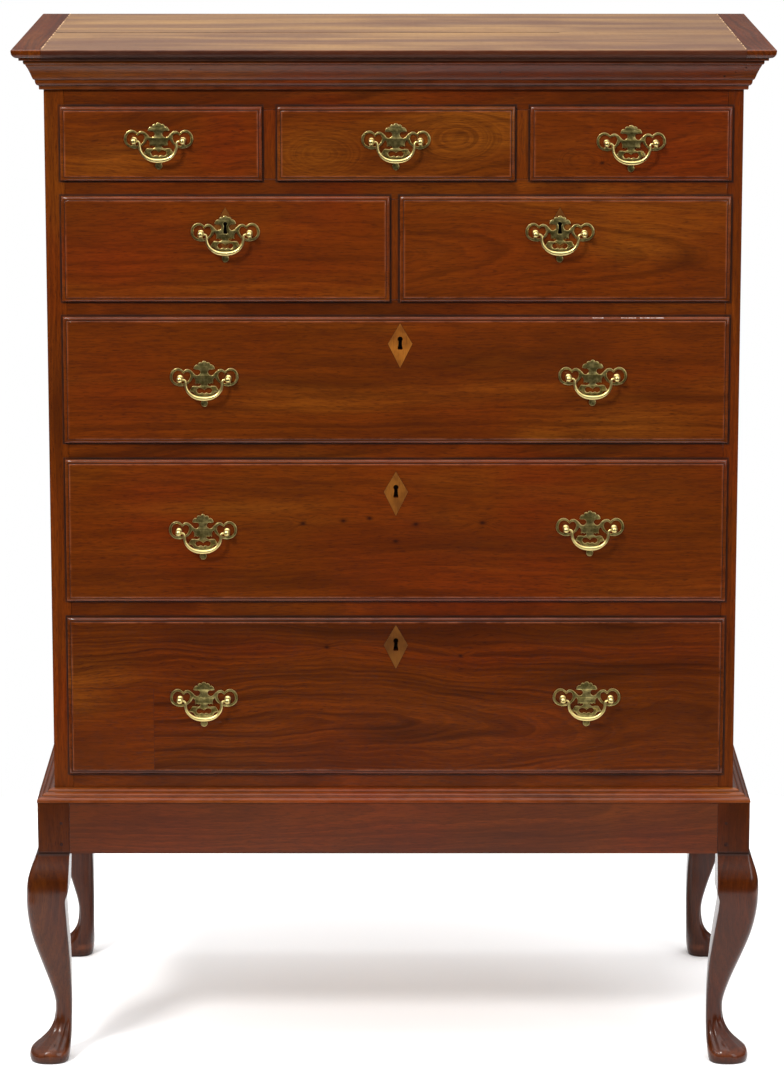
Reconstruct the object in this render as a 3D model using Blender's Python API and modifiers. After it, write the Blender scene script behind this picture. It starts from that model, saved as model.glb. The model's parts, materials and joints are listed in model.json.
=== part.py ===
"""Tall chest of drawers on a frame with cabriole legs.

Metres. X runs to the right, -Y is the front and +Z is up. The origin is on the floor, in the middle
of the footprint. The upper case holds eight lipped drawers, and stands inside the waist moulding of
a low stand.
"""

import math

import bmesh
import bpy
from mathutils import Matrix

# Overall
HEIGHT = 1.540
CASE_WIDTH = 1.022
CASE_DEPTH = 0.566
CORNICE_OUT = 0.0437
STAND_OUT = 0.0245
GAP = 0.0003

# Stand
RAIL_BOTTOM = 0.330
STAND_TOP = 0.408
POST_SIDE = 0.048
RAIL_THICK = 0.022
WAIST_RISE = 0.0185

# Leg
KNEE_OUT = 0.0168
SOLE_HEIGHT = 0.0205
REAR_RIGHT_SPLAY = 0.0045
SPLAY_CURVE = 1.5
CORNER_POINTS = 3
LEG_RINGS = 17

# Case boards
TOP_THICK = 0.0165
TOP_JOINT = 0.001
BOTTOM_THICK = 0.020
BACK_THICK = 0.012
RAIL_DEPTH = 0.055
DUSTBOARD_THICK = 0.010
TOP_RAIL_DEPTH = 0.022
GUIDE_HEIGHT, GUIDE_SHORTER = 0.018, 0.03
OVERLAP = 0.004

# Drawer fronts, measured at the outer edges of their lips
DRAWERS_LEFT = -0.488
DRAWERS_RIGHT = 0.495
LOWEST_LIP = 0.4486
BOTTOM_HEIGHT, FOURTH_HEIGHT, THIRD_HEIGHT = 0.241, 0.215, 0.189
SECOND_HEIGHT, TOP_HEIGHT = 0.156, 0.109
LOWER_RAIL_SHOWN, UPPER_RAIL_SHOWN = 0.0252, 0.0226
TOP_MIDDLE_WIDTH = 0.348
TOP_DIVIDER_SHOWN = 0.022
SECOND_DIVIDER_SHOWN = 0.0146
SECOND_DIVIDER_X = 0.0015

LIP_SIDE, LIP_TOP, LIP_BOTTOM = 0.006, 0.005, 0.002
LIP_STAND_OFF = 0.0005
LIP_EDGE = 0.003
THUMBNAIL = 0.0055
THUMBNAIL_RISE = 0.0038
THUMBNAIL_STEP = 0.001
THUMBNAIL_STEPS = 4
BLOCK_DEPTH = 0.015
FIT = 0.001

# Drawer boxes
BOX_DEPTH = 0.515
BOX_SIDE = 0.011
BOX_BOTTOM = 0.008
BOX_BOTTOM_RISE = 0.010
BOX_LOWER_THAN_FRONT = 0.004

# Escutcheons and keyholes
KEY_BELOW_TIP = 0.024
KEY_RADIUS = 0.0038
KEY_SLOT_FOOT = 0.0076
KEY_DROP = 0.0154
PLATE_KEY_NARROWER = 0.0008

# Pulls
POST_SPACING = 0.0715
PLATE_THICK = 0.0012
PIVOT_OUT = 0.0245
BALL = 0.0048
FLANGE = 0.0042
SHANK = 0.0022
PIN = 0.0012
BORE = 0.0016
BORE_DEPTH = 0.003
BAIL_THIN, BAIL_THICK = 0.0017, 0.0032

FACE_OUT = LIP_STAND_OFF + LIP_EDGE + THUMBNAIL_RISE + THUMBNAIL_STEP
CASE_FRONT = (CORNICE_OUT - CASE_DEPTH - KNEE_OUT) / 2
CASE_BACK = CASE_FRONT + CASE_DEPTH
HALF_CASE = CASE_WIDTH / 2
HALF_STAND = HALF_CASE + STAND_OUT
STAND_FRONT = CASE_FRONT - STAND_OUT
CASE_BOTTOM = STAND_TOP + GAP
OPENING_LEFT = DRAWERS_LEFT + LIP_SIDE
OPENING_RIGHT = DRAWERS_RIGHT - LIP_SIDE
INSIDE_LEFT = OPENING_LEFT + GAP
INSIDE_RIGHT = OPENING_RIGHT - GAP
TOP_BOARD_BOTTOM = HEIGHT - TOP_THICK


def clear_scene():
    for obj in list(bpy.data.objects):
        bpy.data.objects.remove(obj)


def new_collection(name):
    made = bpy.data.collections.new(name)
    bpy.context.scene.collection.children.link(made)
    return made


def make_material(name, colour, roughness, metallic=0.0):
    made = bpy.data.materials.new(name)
    made.use_nodes = True
    shader = made.node_tree.nodes["Principled BSDF"]
    shader.inputs["Base Color"].default_value = (*colour, 1.0)
    shader.inputs["Roughness"].default_value = roughness
    shader.inputs["Metallic"].default_value = metallic
    return made


clear_scene()
CHEST = new_collection("chest_of_drawers")
HELPERS = new_collection("cutters")
WALNUT = make_material("walnut", (0.16, 0.042, 0.015), 0.35)
POPLAR = make_material("poplar", (0.48, 0.31, 0.16), 0.7)
BRASS = make_material("brass", (0.62, 0.46, 0.17), 0.3, 1.0)


def place(name, mesh, material, parent=None, location=(0, 0, 0)):
    """A visible sub-part that shows mesh."""
    obj = bpy.data.objects.new(name, mesh)
    if not mesh.materials:
        mesh.materials.append(material)
    CHEST.objects.link(obj)
    obj.location = location
    obj.parent = parent
    return obj


def helper(name, mesh):
    """A cutter, or a shape that is joined to another."""
    obj = bpy.data.objects.new(name, mesh)
    HELPERS.objects.link(obj)
    obj.hide_render = True
    obj.display_type = "WIRE"
    return obj


def empty(name, location, parent=None):
    obj = bpy.data.objects.new(name, None)
    obj.empty_display_size = 0.03
    CHEST.objects.link(obj)
    obj.location = location
    obj.parent = parent
    return obj


def mesh_of(bm, name):
    bmesh.ops.recalc_face_normals(bm, faces=bm.faces)
    mesh = bpy.data.meshes.new(name)
    bm.to_mesh(mesh)
    bm.free()
    return mesh


def add_block(bm, low, high):
    """A block between two corners."""
    size = [b - a for a, b in zip(low, high)]
    middle = [(a + b) / 2 for a, b in zip(low, high)]
    matrix = Matrix.Translation(middle) @ Matrix.Diagonal((*size, 1))
    bmesh.ops.create_cube(bm, size=1, matrix=matrix)


def block_mesh(name, *corner_pairs):
    bm = bmesh.new()
    for low, high in corner_pairs:
        add_block(bm, low, high)
    return mesh_of(bm, name)


def block(name, low, high, material, parent=None):
    return place(name, block_mesh(name, (low, high)), material, parent)


def boolean(obj, other, operation):
    modifier = obj.modifiers.new(f"{operation.lower()} {other.name}", "BOOLEAN")
    modifier.operation = operation
    modifier.solver = "EXACT"
    modifier.object = other


def extruded(name, outlines, half_thick):
    """A flat piece, in the XZ plane, of closed outlines: the first is its edge, and the rest are holes."""
    curve = bpy.data.curves.new(name, "CURVE")
    curve.dimensions = "2D"
    curve.fill_mode = "BOTH"
    curve.extrude = half_thick
    for outline in outlines:
        spline = curve.splines.new("POLY")
        spline.points.add(len(outline) - 1)
        for point, (x, z) in zip(spline.points, outline):
            point.co = (x, z, 0, 1)
        spline.use_cyclic_u = True
    mesh = as_mesh(curve, name)
    mesh.transform(Matrix.Rotation(math.pi / 2, 4, "X"))
    return mesh


def as_mesh(curve, name):
    """The mesh that a curve makes, with its caps welded to its sides."""
    obj = bpy.data.objects.new(name, curve)
    HELPERS.objects.link(obj)
    graph = bpy.context.evaluated_depsgraph_get()
    mesh = bpy.data.meshes.new_from_object(obj.evaluated_get(graph))
    bpy.data.objects.remove(obj)
    bm = bmesh.new()
    bm.from_mesh(mesh)
    bmesh.ops.remove_doubles(bm, verts=bm.verts, dist=1e-5)
    bpy.data.meshes.remove(mesh)
    return mesh_of(bm, name)


def with_modifiers_applied(obj, name):
    graph = bpy.context.evaluated_depsgraph_get()
    mesh = bpy.data.meshes.new_from_object(obj.evaluated_get(graph))
    mesh.name = name
    return mesh


def arc(centre, radius, start, end, steps):
    """Points on a circular arc, angles in degrees."""
    angles = [math.radians(start + (end - start) * i / steps) for i in range(steps + 1)]
    return [(centre[0] + radius * math.cos(a), centre[1] + radius * math.sin(a)) for a in angles]


def mirrored(half):
    """A closed outline from its +X half, which starts and ends on the line x = 0."""
    return half + [(-x, z) for x, z in half[-2:0:-1]]


def smooth(stations, at):
    """Monotone cubic through (position, value) stations."""
    xs, ys = [s[0] for s in stations], [s[1] for s in stations]
    steps = [b - a for a, b in zip(xs, xs[1:])]
    slopes = [(b - a) / h for a, b, h in zip(ys, ys[1:], steps)]
    tangents = [slopes[0]]
    for a, b in zip(slopes, slopes[1:]):
        tangents.append(2 * a * b / (a + b) if a * b > 0 else 0.0)
    tangents.append(slopes[-1])
    i = min(max(sum(x <= at for x in xs) - 1, 0), len(steps) - 1)
    t = (at - xs[i]) / steps[i]
    rise = ys[i + 1] - ys[i]
    bend_in = tangents[i] * steps[i] - rise
    bend_out = rise - tangents[i + 1] * steps[i]
    return ys[i] + t * rise + t * (1 - t) * ((1 - t) * bend_in + t * bend_out)


# Mouldings

def quarter_round(start, end, bulge, steps=4):
    """An elliptical quarter from start to end, swelling outwards if bulge is 1 and hollow if it is -1."""
    points = []
    for i in range(steps + 1):
        a = math.pi / 2 * i / steps
        across, along = (1 - math.cos(a), math.sin(a)) if bulge > 0 else (math.sin(a), 1 - math.cos(a))
        points.append((start[0] + (end[0] - start[0]) * across, start[1] + (end[1] - start[1]) * along))
    return points


def top_edge_section(inner, tongue=0.0):
    """(out, up) from the top of the case face: the top's moulded edge, over a tongue if one is given."""
    under = [(0.0200, -TOP_THICK), (0.0200, -TOP_THICK - tongue)] if tongue else []
    return [
        (inner, 0.0),
        (CORNICE_OUT, 0.0),
        *quarter_round((CORNICE_OUT, -0.002), (0.0336, -0.0130), 1),
        (0.0330, -TOP_THICK),
        *under,
        (inner, -TOP_THICK - tongue),
    ]


def cove_section():
    """(out, up) of the moulding under the top: bead, hollow, small ovolo and fillet."""
    return [
        (0.0006, -TOP_THICK - GAP),
        (0.0270, -TOP_THICK - GAP),
        *quarter_round((0.0272, -0.0190), (0.0243, -0.0232), 1, 2),
        *quarter_round((0.0240, -0.0235), (0.0150, -0.0445), -1),
        (0.0122, -0.0460),
        *quarter_round((0.0120, -0.0465), (0.0068, -0.0550), 1, 3),
        (0.0062, -0.0558),
        (0.0060, -0.0610),
        (0.0006, -0.0618),
    ]


def waist_section():
    """(out, up) from the top of the stand at the case face. Three rounded steps."""
    return [
        (0.0006, 0.0),
        (STAND_OUT - 0.0005, 0.0),
        (STAND_OUT + 0.0007, 0.0016),
        *quarter_round((STAND_OUT + 0.0007, 0.0030), (0.0188, 0.0080), 1, 3),
        *quarter_round((0.0180, 0.0088), (0.0110, 0.0132), 1, 3),
        *quarter_round((0.0100, 0.0140), (0.0030, WAIST_RISE - 0.0004), 1, 3),
        (0.0006, WAIST_RISE),
    ]


def along_x(x):
    """The end of a run along the front."""
    return lambda out: (x, CASE_FRONT - out)


def case_corner(side, front):
    """Where a run turns at the case's front corner, or ends at its back."""
    return lambda out: (side * (HALF_CASE + out), CASE_FRONT - out if front else CASE_BACK)


def run(name, section, base, corners):
    """A mesh of the section run from corner to corner. A corner gives (x, y) for a distance out."""
    bm = bmesh.new()
    rings = [[bm.verts.new((*corner(out), base + up)) for out, up in section] for corner in corners]
    for one, other in zip(rings, rings[1:]):
        for i in range(len(section)):
            j = (i + 1) % len(section)
            bm.faces.new((one[i], one[j], other[j], other[i]))
    bm.faces.new(rings[0])
    bm.faces.new(rings[-1])
    return mesh_of(bm, name)


def moulding(name, section, base):
    """The section run along the left, front and right sides of the case, with mitred corners."""
    corners = [case_corner(side, front) for side, front in ((-1, 0), (-1, 1), (1, 1), (1, 0))]
    return place(name, run(name, section, base, corners), WALNUT)


def top_and_cornice():
    """The top board with its moulded front, and the cove moulding joined to the board's end strips."""
    ends = [along_x(-HALF_CASE), along_x(HALF_CASE)]
    place("case_top", run("case_top", top_edge_section(-CASE_DEPTH), HEIGHT, ends), WALNUT)
    cornice = moulding("cornice_moulding", cove_section(), HEIGHT)
    for side, name in ((-1, "strip_left"), (1, "strip_right")):
        corners = [case_corner(side, 0), case_corner(side, 1), along_x(side * (HALF_CASE + GAP))]
        strip = run(name, top_edge_section(TOP_JOINT, 0.0012), HEIGHT, corners)
        boolean(cornice, helper(name, strip), "UNION")


# Stand

LEG_OUTER = (
    (SOLE_HEIGHT, 0.0095), (0.0270, 0.0), (0.0450, -0.0188), (0.0600, -0.0252), (0.0800, -0.0271),
    (0.1500, -0.0086), (0.2240, 0.0130), (0.2640, KNEE_OUT), (0.3050, 0.0113), (RAIL_BOTTOM - GAP, 0.0024),
)
LEG_INNER = (
    (SOLE_HEIGHT, -0.0500), (0.0800, -0.0520), (0.1500, -0.0508), (0.2200, -0.0450), (0.2580, -0.0424),
    (0.2700, -0.0466), (RAIL_BOTTOM - GAP, -0.0476),
)
LEG_ROUNDING = (
    (SOLE_HEIGHT, 0.0250), (0.0450, 0.0150), (0.0800, 0.0122), (0.1500, 0.0150), (0.2640, 0.0200),
    (RAIL_BOTTOM - GAP, 0.0040),
)
LEG_LEAN = ((0.0, 0.0075), (0.1000, 0.0070), (0.1500, 0.0060), (0.2600, 0.0020), (RAIL_BOTTOM, 0.0))
SOLE = (
    (0.0, 0.0080, -0.0466, 0.0230), (0.0030, 0.0100, -0.0480, 0.0240), (0.0165, 0.0115, -0.0494, 0.0255),
)
POST = ((RAIL_BOTTOM, 0.0, -POST_SIDE, 0.0006), (STAND_TOP, 0.0, -POST_SIDE, 0.0006))


def leg_stations():
    """(height, outer face, inner face, corner radius) up the leg, out from the stand's corner."""
    span = RAIL_BOTTOM - GAP - SOLE_HEIGHT
    shaft = []
    for i in range(LEG_RINGS + 1):
        z = SOLE_HEIGHT + span * i / LEG_RINGS
        shaft.append((z, smooth(LEG_OUTER, z), smooth(LEG_INNER, z), smooth(LEG_ROUNDING, z)))
    return [*SOLE, *shaft, *POST]


def leg_ring(outer, inner, radius):
    """A rounded square, in distances out from the stand's corner along both faces."""
    near, far = inner + radius, outer - radius
    centres = ((far, far, 0), (near, far, 90), (near, near, 180), (far, near, 270))
    ring = []
    for u, v, start in centres:
        ring += arc((u, v), radius, start, start + 90, CORNER_POINTS - 1)
    return ring


def leg(name, side, end):
    """A post and cabriole leg in one piece. side is -1 on the left, and end is -1 at the front."""
    corner_x = side * HALF_STAND
    corner_y = STAND_FRONT if end < 0 else CASE_BACK
    bm = bmesh.new()
    rings = []
    for z, outer, inner, radius in leg_stations():
        below = max(0.0, 1 - z / RAIL_BOTTOM)
        splay = REAR_RIGHT_SPLAY * below ** SPLAY_CURVE if side > 0 and end > 0 else 0.0
        shift = splay - smooth(LEG_LEAN, min(z, RAIL_BOTTOM))
        ring = leg_ring(outer, inner, radius)
        rings.append([bm.verts.new((corner_x + side * u + shift, corner_y + end * v, z)) for u, v in ring])
    for lower, upper in zip(rings, rings[1:]):
        for i in range(len(lower)):
            j = (i + 1) % len(lower)
            bm.faces.new((lower[i], lower[j], upper[j], upper[i]))
    bm.faces.new(rings[0])
    bm.faces.new(rings[-1])
    return place(name, mesh_of(bm, name), WALNUT)


def stand():
    for side, side_name in ((-1, "left"), (1, "right")):
        leg(f"leg_front_{side_name}", side, -1)
        leg(f"leg_rear_{side_name}", side, 1)
        outer = side * HALF_STAND
        xs = sorted((outer, outer - side * RAIL_THICK))
        low = (xs[0], STAND_FRONT + POST_SIDE + GAP, RAIL_BOTTOM)
        high = (xs[1], CASE_BACK - POST_SIDE - GAP, STAND_TOP)
        block(f"stand_rail_{side_name}", low, high, WALNUT)
    reach = HALF_STAND - POST_SIDE - GAP
    for name, y, material in (
        ("stand_rail_front", STAND_FRONT, WALNUT),
        ("stand_rail_back", CASE_BACK - RAIL_THICK, POPLAR),
    ):
        block(name, (-reach, y, RAIL_BOTTOM), (reach, y + RAIL_THICK, STAND_TOP), material)
    moulding("waist_moulding", waist_section(), STAND_TOP + GAP)


# Case

class Row:
    """One row of drawers, between the outer edges of its lips."""

    def __init__(self, bottom, height):
        self.bottom, self.top = bottom, bottom + height

    @property
    def floor(self):
        """Where the rail below the row ends."""
        return self.bottom + LIP_BOTTOM

    @property
    def ceiling(self):
        return self.top - LIP_TOP


BOTTOM_ROW = Row(LOWEST_LIP, BOTTOM_HEIGHT)
FOURTH_ROW = Row(BOTTOM_ROW.top + LOWER_RAIL_SHOWN, FOURTH_HEIGHT)
THIRD_ROW = Row(FOURTH_ROW.top + LOWER_RAIL_SHOWN, THIRD_HEIGHT)
SECOND_ROW = Row(THIRD_ROW.top + UPPER_RAIL_SHOWN, SECOND_HEIGHT)
TOP_ROW = Row(SECOND_ROW.top + UPPER_RAIL_SHOWN, TOP_HEIGHT)

MIDDLE_LEFT = (DRAWERS_LEFT + DRAWERS_RIGHT - TOP_MIDDLE_WIDTH) / 2
MIDDLE_RIGHT = MIDDLE_LEFT + TOP_MIDDLE_WIDTH


def shown_strip(left, shown):
    """(left, right) of a divider that shows this much between two lips."""
    return left - LIP_SIDE, left + shown + LIP_SIDE


TOP_DIVIDERS = (
    shown_strip(MIDDLE_LEFT - TOP_DIVIDER_SHOWN, TOP_DIVIDER_SHOWN),
    shown_strip(MIDDLE_RIGHT, TOP_DIVIDER_SHOWN),
)
SECOND_DIVIDER = shown_strip(SECOND_DIVIDER_X - SECOND_DIVIDER_SHOWN / 2, SECOND_DIVIDER_SHOWN)


def rail_with_dustboard(name, below, above, guides=()):
    """A front rail with the dustboard that the row above runs on, and guides that keep drawers apart."""
    bottom, top = below.ceiling, above.floor
    low = (INSIDE_LEFT, CASE_FRONT, bottom)
    rail = block(name, low, (INSIDE_RIGHT, CASE_FRONT + RAIL_DEPTH, top), WALNUT)
    back = CASE_BACK - BACK_THICK - GAP
    low = (INSIDE_LEFT, CASE_FRONT + RAIL_DEPTH - OVERLAP, top - DUSTBOARD_THICK)
    board = helper(f"{name}_dustboard", block_mesh(f"{name}_dustboard", (low, (INSIDE_RIGHT, back, top))))
    boolean(rail, board, "UNION")
    for i, (left, right) in enumerate(guides):
        low = (left, CASE_FRONT + RAIL_DEPTH, top - OVERLAP)
        guide_name = f"{name}_guide_{i}"
        guide = block_mesh(guide_name, (low, (right, back - GUIDE_SHORTER, top + GUIDE_HEIGHT)))
        boolean(rail, helper(guide_name, guide), "UNION")
    return rail


def case():
    for name, left, right in (
        ("case_side_left", -HALF_CASE, OPENING_LEFT),
        ("case_side_right", OPENING_RIGHT, HALF_CASE),
    ):
        low = (left, CASE_FRONT, CASE_BOTTOM)
        block(name, low, (right, CASE_BACK, TOP_BOARD_BOTTOM - GAP), WALNUT)
    back_y = CASE_BACK - BACK_THICK
    low = (INSIDE_LEFT, back_y, CASE_BOTTOM)
    block("case_back", low, (INSIDE_RIGHT, CASE_BACK, TOP_BOARD_BOTTOM - GAP), POPLAR)
    floor = BOTTOM_ROW.floor
    low = (INSIDE_LEFT, CASE_FRONT, CASE_BOTTOM)
    block("bottom_rail", low, (INSIDE_RIGHT, CASE_FRONT + RAIL_DEPTH, floor), WALNUT)
    low = (INSIDE_LEFT, CASE_FRONT + RAIL_DEPTH + GAP, floor - BOTTOM_THICK)
    block("case_bottom", low, (INSIDE_RIGHT, back_y - GAP, floor), POPLAR)

    rail_with_dustboard("rail_4", BOTTOM_ROW, FOURTH_ROW)
    rail_with_dustboard("rail_3", FOURTH_ROW, THIRD_ROW)
    rail_with_dustboard("rail_2", THIRD_ROW, SECOND_ROW, [SECOND_DIVIDER])
    rail_1 = rail_with_dustboard("rail_1", SECOND_ROW, TOP_ROW, TOP_DIVIDERS)
    left, right = SECOND_DIVIDER
    low = (left, CASE_FRONT, SECOND_ROW.floor + GAP)
    high = (right, CASE_FRONT + RAIL_DEPTH, SECOND_ROW.ceiling + OVERLAP)
    boolean(rail_1, helper("second_divider", block_mesh("second_divider", (low, high))), "UNION")

    low = (INSIDE_LEFT, CASE_FRONT, TOP_ROW.ceiling)
    high = (INSIDE_RIGHT, CASE_FRONT + TOP_RAIL_DEPTH, TOP_BOARD_BOTTOM - GAP)
    top_rail = block("top_rail", low, high, WALNUT)
    for i, (left, right) in enumerate(TOP_DIVIDERS):
        low = (left, CASE_FRONT, TOP_ROW.floor + GAP)
        high = (right, CASE_FRONT + TOP_RAIL_DEPTH, TOP_ROW.ceiling + OVERLAP)
        divider_name = f"top_divider_{i}"
        boolean(top_rail, helper(divider_name, block_mesh(divider_name, (low, high))), "UNION")
    top_and_cornice()


# Drawers

def step_in(bm, face, across, forward):
    """Insets a face that looks along Y, and moves it towards the front."""
    bmesh.ops.inset_region(bm, faces=[face], thickness=across, use_even_offset=True)
    bmesh.ops.translate(bm, verts=face.verts, vec=(0, -forward, 0))


def drawer_front_mesh(name, half_width, height):
    """A lipped front about the middle of its lower edge. Y = 0 is the back of the lip."""
    bm = bmesh.new()
    add_block(bm, (-half_width, -LIP_EDGE, 0), (half_width, 0, height))
    front = min(bm.faces, key=lambda f: f.calc_center_median().y)
    back = max(bm.faces, key=lambda f: f.calc_center_median().y)
    risen = inset = 0.0
    for i in range(1, THUMBNAIL_STEPS + 1):
        a = math.pi / 2 * i / THUMBNAIL_STEPS
        rise, across = THUMBNAIL_RISE * math.sin(a), THUMBNAIL * (1 - math.cos(a))
        step_in(bm, front, across - inset, rise - risen)
        risen, inset = rise, across
    step_in(bm, front, 0.0002, THUMBNAIL_STEP)
    step_in(bm, back, LIP_SIDE + FIT, 0)
    shift_top = LIP_SIDE - LIP_TOP
    shift_bottom = LIP_BOTTOM - LIP_SIDE
    for vert in back.verts:
        vert.co.z += shift_top if vert.co.z > height / 2 else shift_bottom
    tenon = bmesh.ops.extrude_face_region(bm, geom=[back])["geom"]
    moved = [v for v in tenon if isinstance(v, bmesh.types.BMVert)]
    bmesh.ops.translate(bm, verts=moved, vec=(0, BLOCK_DEPTH, 0))
    bmesh.ops.delete(bm, geom=[back], context="FACES_ONLY")
    return mesh_of(bm, name)


def drawer_box_mesh(name, half_width, height):
    """Sides, back and raised bottom, open towards the front, where Y = 0. Z = 0 is its lower edge."""
    bm = bmesh.new()
    inner = half_width - BOX_SIDE
    add_block(bm, (-half_width, 0, 0), (half_width, BOX_DEPTH, height))
    obj = helper(f"{name}_shape", mesh_of(bm, name))
    past = 0.01
    hollow = block_mesh(
        f"{name}_hollow",
        ((-inner, -past, BOX_BOTTOM_RISE + BOX_BOTTOM), (inner, BOX_DEPTH - BOX_SIDE, height + past)),
        ((-inner, -past, -past), (inner, BOX_DEPTH - BOX_SIDE, BOX_BOTTOM_RISE)),
    )
    cutter = helper(f"{name}_hollow", hollow)
    boolean(obj, cutter, "DIFFERENCE")
    mesh = with_modifiers_applied(obj, name)
    bpy.data.objects.remove(obj)
    bpy.data.objects.remove(cutter)
    return mesh


def keyhole_outline(top, narrower=0.0):
    """A round eye over a slot that widens downwards. top is the height of the eye's middle."""
    radius, foot = KEY_RADIUS - narrower, top - KEY_DROP + narrower
    half = [
        (0, top + radius),
        *arc((0, top), radius, 60, -45, 3),
        (KEY_SLOT_FOOT / 2 - narrower, foot),
        (0, foot),
    ]
    return mirrored(half)


class Drawer:
    """A drawer: its lips' outer edges, and where its pulls and its keyhole are."""

    def __init__(self, name, row, left, right, pulls, kite=None):
        self.name, self.row, self.left, self.right = name, row, left, right
        self.pulls, self.kite = pulls, kite

    def build(self):
        middle = (self.left + self.right) / 2
        half = (self.right - self.left) / 2
        height = self.row.top - self.row.bottom
        origin = (middle, CASE_FRONT - LIP_STAND_OFF, self.row.bottom)
        root = empty(f"drawer_{self.name}", origin)
        name = f"drawer_front_{self.name}"
        front = place(name, drawer_front_mesh(name, half, height), WALNUT, root)
        if self.kite is not None:
            kite_x, tip_below_top = self.kite
            eye = height - tip_below_top - KEY_BELOW_TIP
            cutter = helper(f"{name}_keyhole", extruded(f"{name}_keyhole", [keyhole_outline(eye)], 0.03))
            cutter.location = (kite_x - middle, 0, 0)
            cutter.parent = root
            boolean(front, cutter, "DIFFERENCE")
        name = f"drawer_box_{self.name}"
        lower = LIP_BOTTOM + FIT
        box_height = height - LIP_TOP - FIT - lower - BOX_LOWER_THAN_FRONT
        mesh = drawer_box_mesh(name, half - LIP_SIDE - FIT, box_height)
        place(name, mesh, POPLAR, root, (0, BLOCK_DEPTH + GAP, lower))
        for suffix, x, z, plate in self.pulls:
            pull_name = f"{self.name}{suffix}"
            at = (x - middle, LIP_STAND_OFF - FACE_OUT - GAP, height / 2 + z)
            place(f"pull_plate_{pull_name}", plate, BRASS, root, at)
            pivot = (at[0], LIP_STAND_OFF - PIVOT_OUT, at[2])
            place(f"pull_bail_{pull_name}", BAIL, BRASS, root, pivot)


# Pulls, about the middle of the line through their two posts

def plate_outline():
    """Five-lobed crown, waist notches, pierced ears round the posts, scrolls and a drop, as its +X half."""
    return mirrored([
        (0, 0.0256), (0.0034, 0.0245), (0.0046, 0.0220),
        (0.0078, 0.0225), (0.0093, 0.0190),
        (0.0130, 0.0183), (0.0154, 0.0138),
        *arc((0.0096, 0.0074), 0.0052, 88, 240, 3),
        (0.0118, 0.0028), (0.0166, 0.0086),
        (0.0205, 0.0122), (0.0255, 0.0139),
        (0.0313, 0.0106),
        (0.0360, 0.0142), (0.0420, 0.0149),
        (0.0478, 0.0102), (0.0503, 0.0010),
        (0.0468, -0.0074), (0.0400, -0.0112),
        (0.0286, -0.0129),
        (0.0215, -0.0060), (0.0168, 0.0010),
        (0.0130, -0.0030), (0.0124, -0.0086),
        (0.0066, -0.0068), (0.0036, -0.0100),
        (0.0100, -0.0120), (0.0165, -0.0120),
        (0.0200, -0.0160), (0.0226, -0.0204),
        (0.0157, -0.0219), (0.0110, -0.0275),
        (0.0042, -0.0310), (0.0043, -0.0385), (0, -0.0430),
    ])


def ear_hole(side):
    """The opening round a post's boss, which stays joined to the plate below the post."""
    post = POST_SPACING / 2
    boss = arc((post, 0), FLANGE, -60, 240, 7)
    around = [
        (0.0330, -0.0078), (0.0250, -0.0038), (0.0216, 0.0030), (0.0232, 0.0080),
        (0.0300, 0.0056), (0.0395, 0.0096), (0.0440, 0.0050), (0.0430, -0.0045), (0.0390, -0.0076),
    ]
    return [(side * x, z) for x, z in boss + around]


def scroll_hole():
    half = [(0, -0.0178), (0.0060, -0.0155), (0.0104, -0.0185), (0.0082, -0.0226), (0, -0.0214)]
    return mirrored(half)


def turned_post():
    """Flange, shank and ball, turned about Z and then laid along -Y."""
    ball_top = PIVOT_OUT - FACE_OUT - GAP
    profile = [
        (0.0, ball_top + BALL),
        *[(x, z) for x, z in arc((0, ball_top), BALL, 60, -30, 3)],
        (SHANK, ball_top - BALL * 0.92),
        (SHANK, 0.0030),
        (FLANGE - 0.0003, 0.0024),
        (FLANGE - 0.0003, 0.0004),
        (0.0, 0.0004),
    ]
    mesh = bpy.data.meshes.new("post_profile")
    points = [(x, 0, z) for x, z in profile]
    mesh.from_pydata(points, [(i, i + 1) for i in range(len(points) - 1)], [])
    obj = helper("post", mesh)
    screw = obj.modifiers.new("turn", "SCREW")
    screw.steps = screw.render_steps = 6
    screw.use_merge_vertices = True
    screw.merge_threshold = 0.00001
    made = with_modifiers_applied(obj, "post")
    bpy.data.objects.remove(obj)
    made.transform(Matrix.Rotation(math.pi / 2, 4, "X"))
    return made


def pull_plate_mesh(name, holes):
    """Plate and two ball-headed posts. The balls are bored on their inner sides for the bail's pins."""
    shape = helper(name, extruded(name, [plate_outline(), *holes], PLATE_THICK / 2))
    shape.data.transform(Matrix.Translation((0, -PLATE_THICK / 2, 0)))
    used = [shape]
    for side in (-1, 1):
        post = helper("post", turned_post())
        post.location.x = side * POST_SPACING / 2
        boolean(shape, post, "UNION")
        used.append(post)
    for side in (-1, 1):
        bm = bmesh.new()
        bmesh.ops.create_cone(
            bm, cap_ends=True, segments=6, radius1=BORE, radius2=BORE, depth=2 * BORE_DEPTH,
            matrix=Matrix.Rotation(math.pi / 2, 4, "Y"),
        )
        bore = helper("bore", mesh_of(bm, "bore"))
        bore.location = (side * (POST_SPACING / 2 - BALL), FACE_OUT + GAP - PIVOT_OUT, 0)
        boolean(shape, bore, "DIFFERENCE")
        used.append(bore)
    bpy.context.view_layer.update()
    mesh = with_modifiers_applied(shape, name)
    for obj in used:
        bpy.data.objects.remove(obj)
    return mesh


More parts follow.
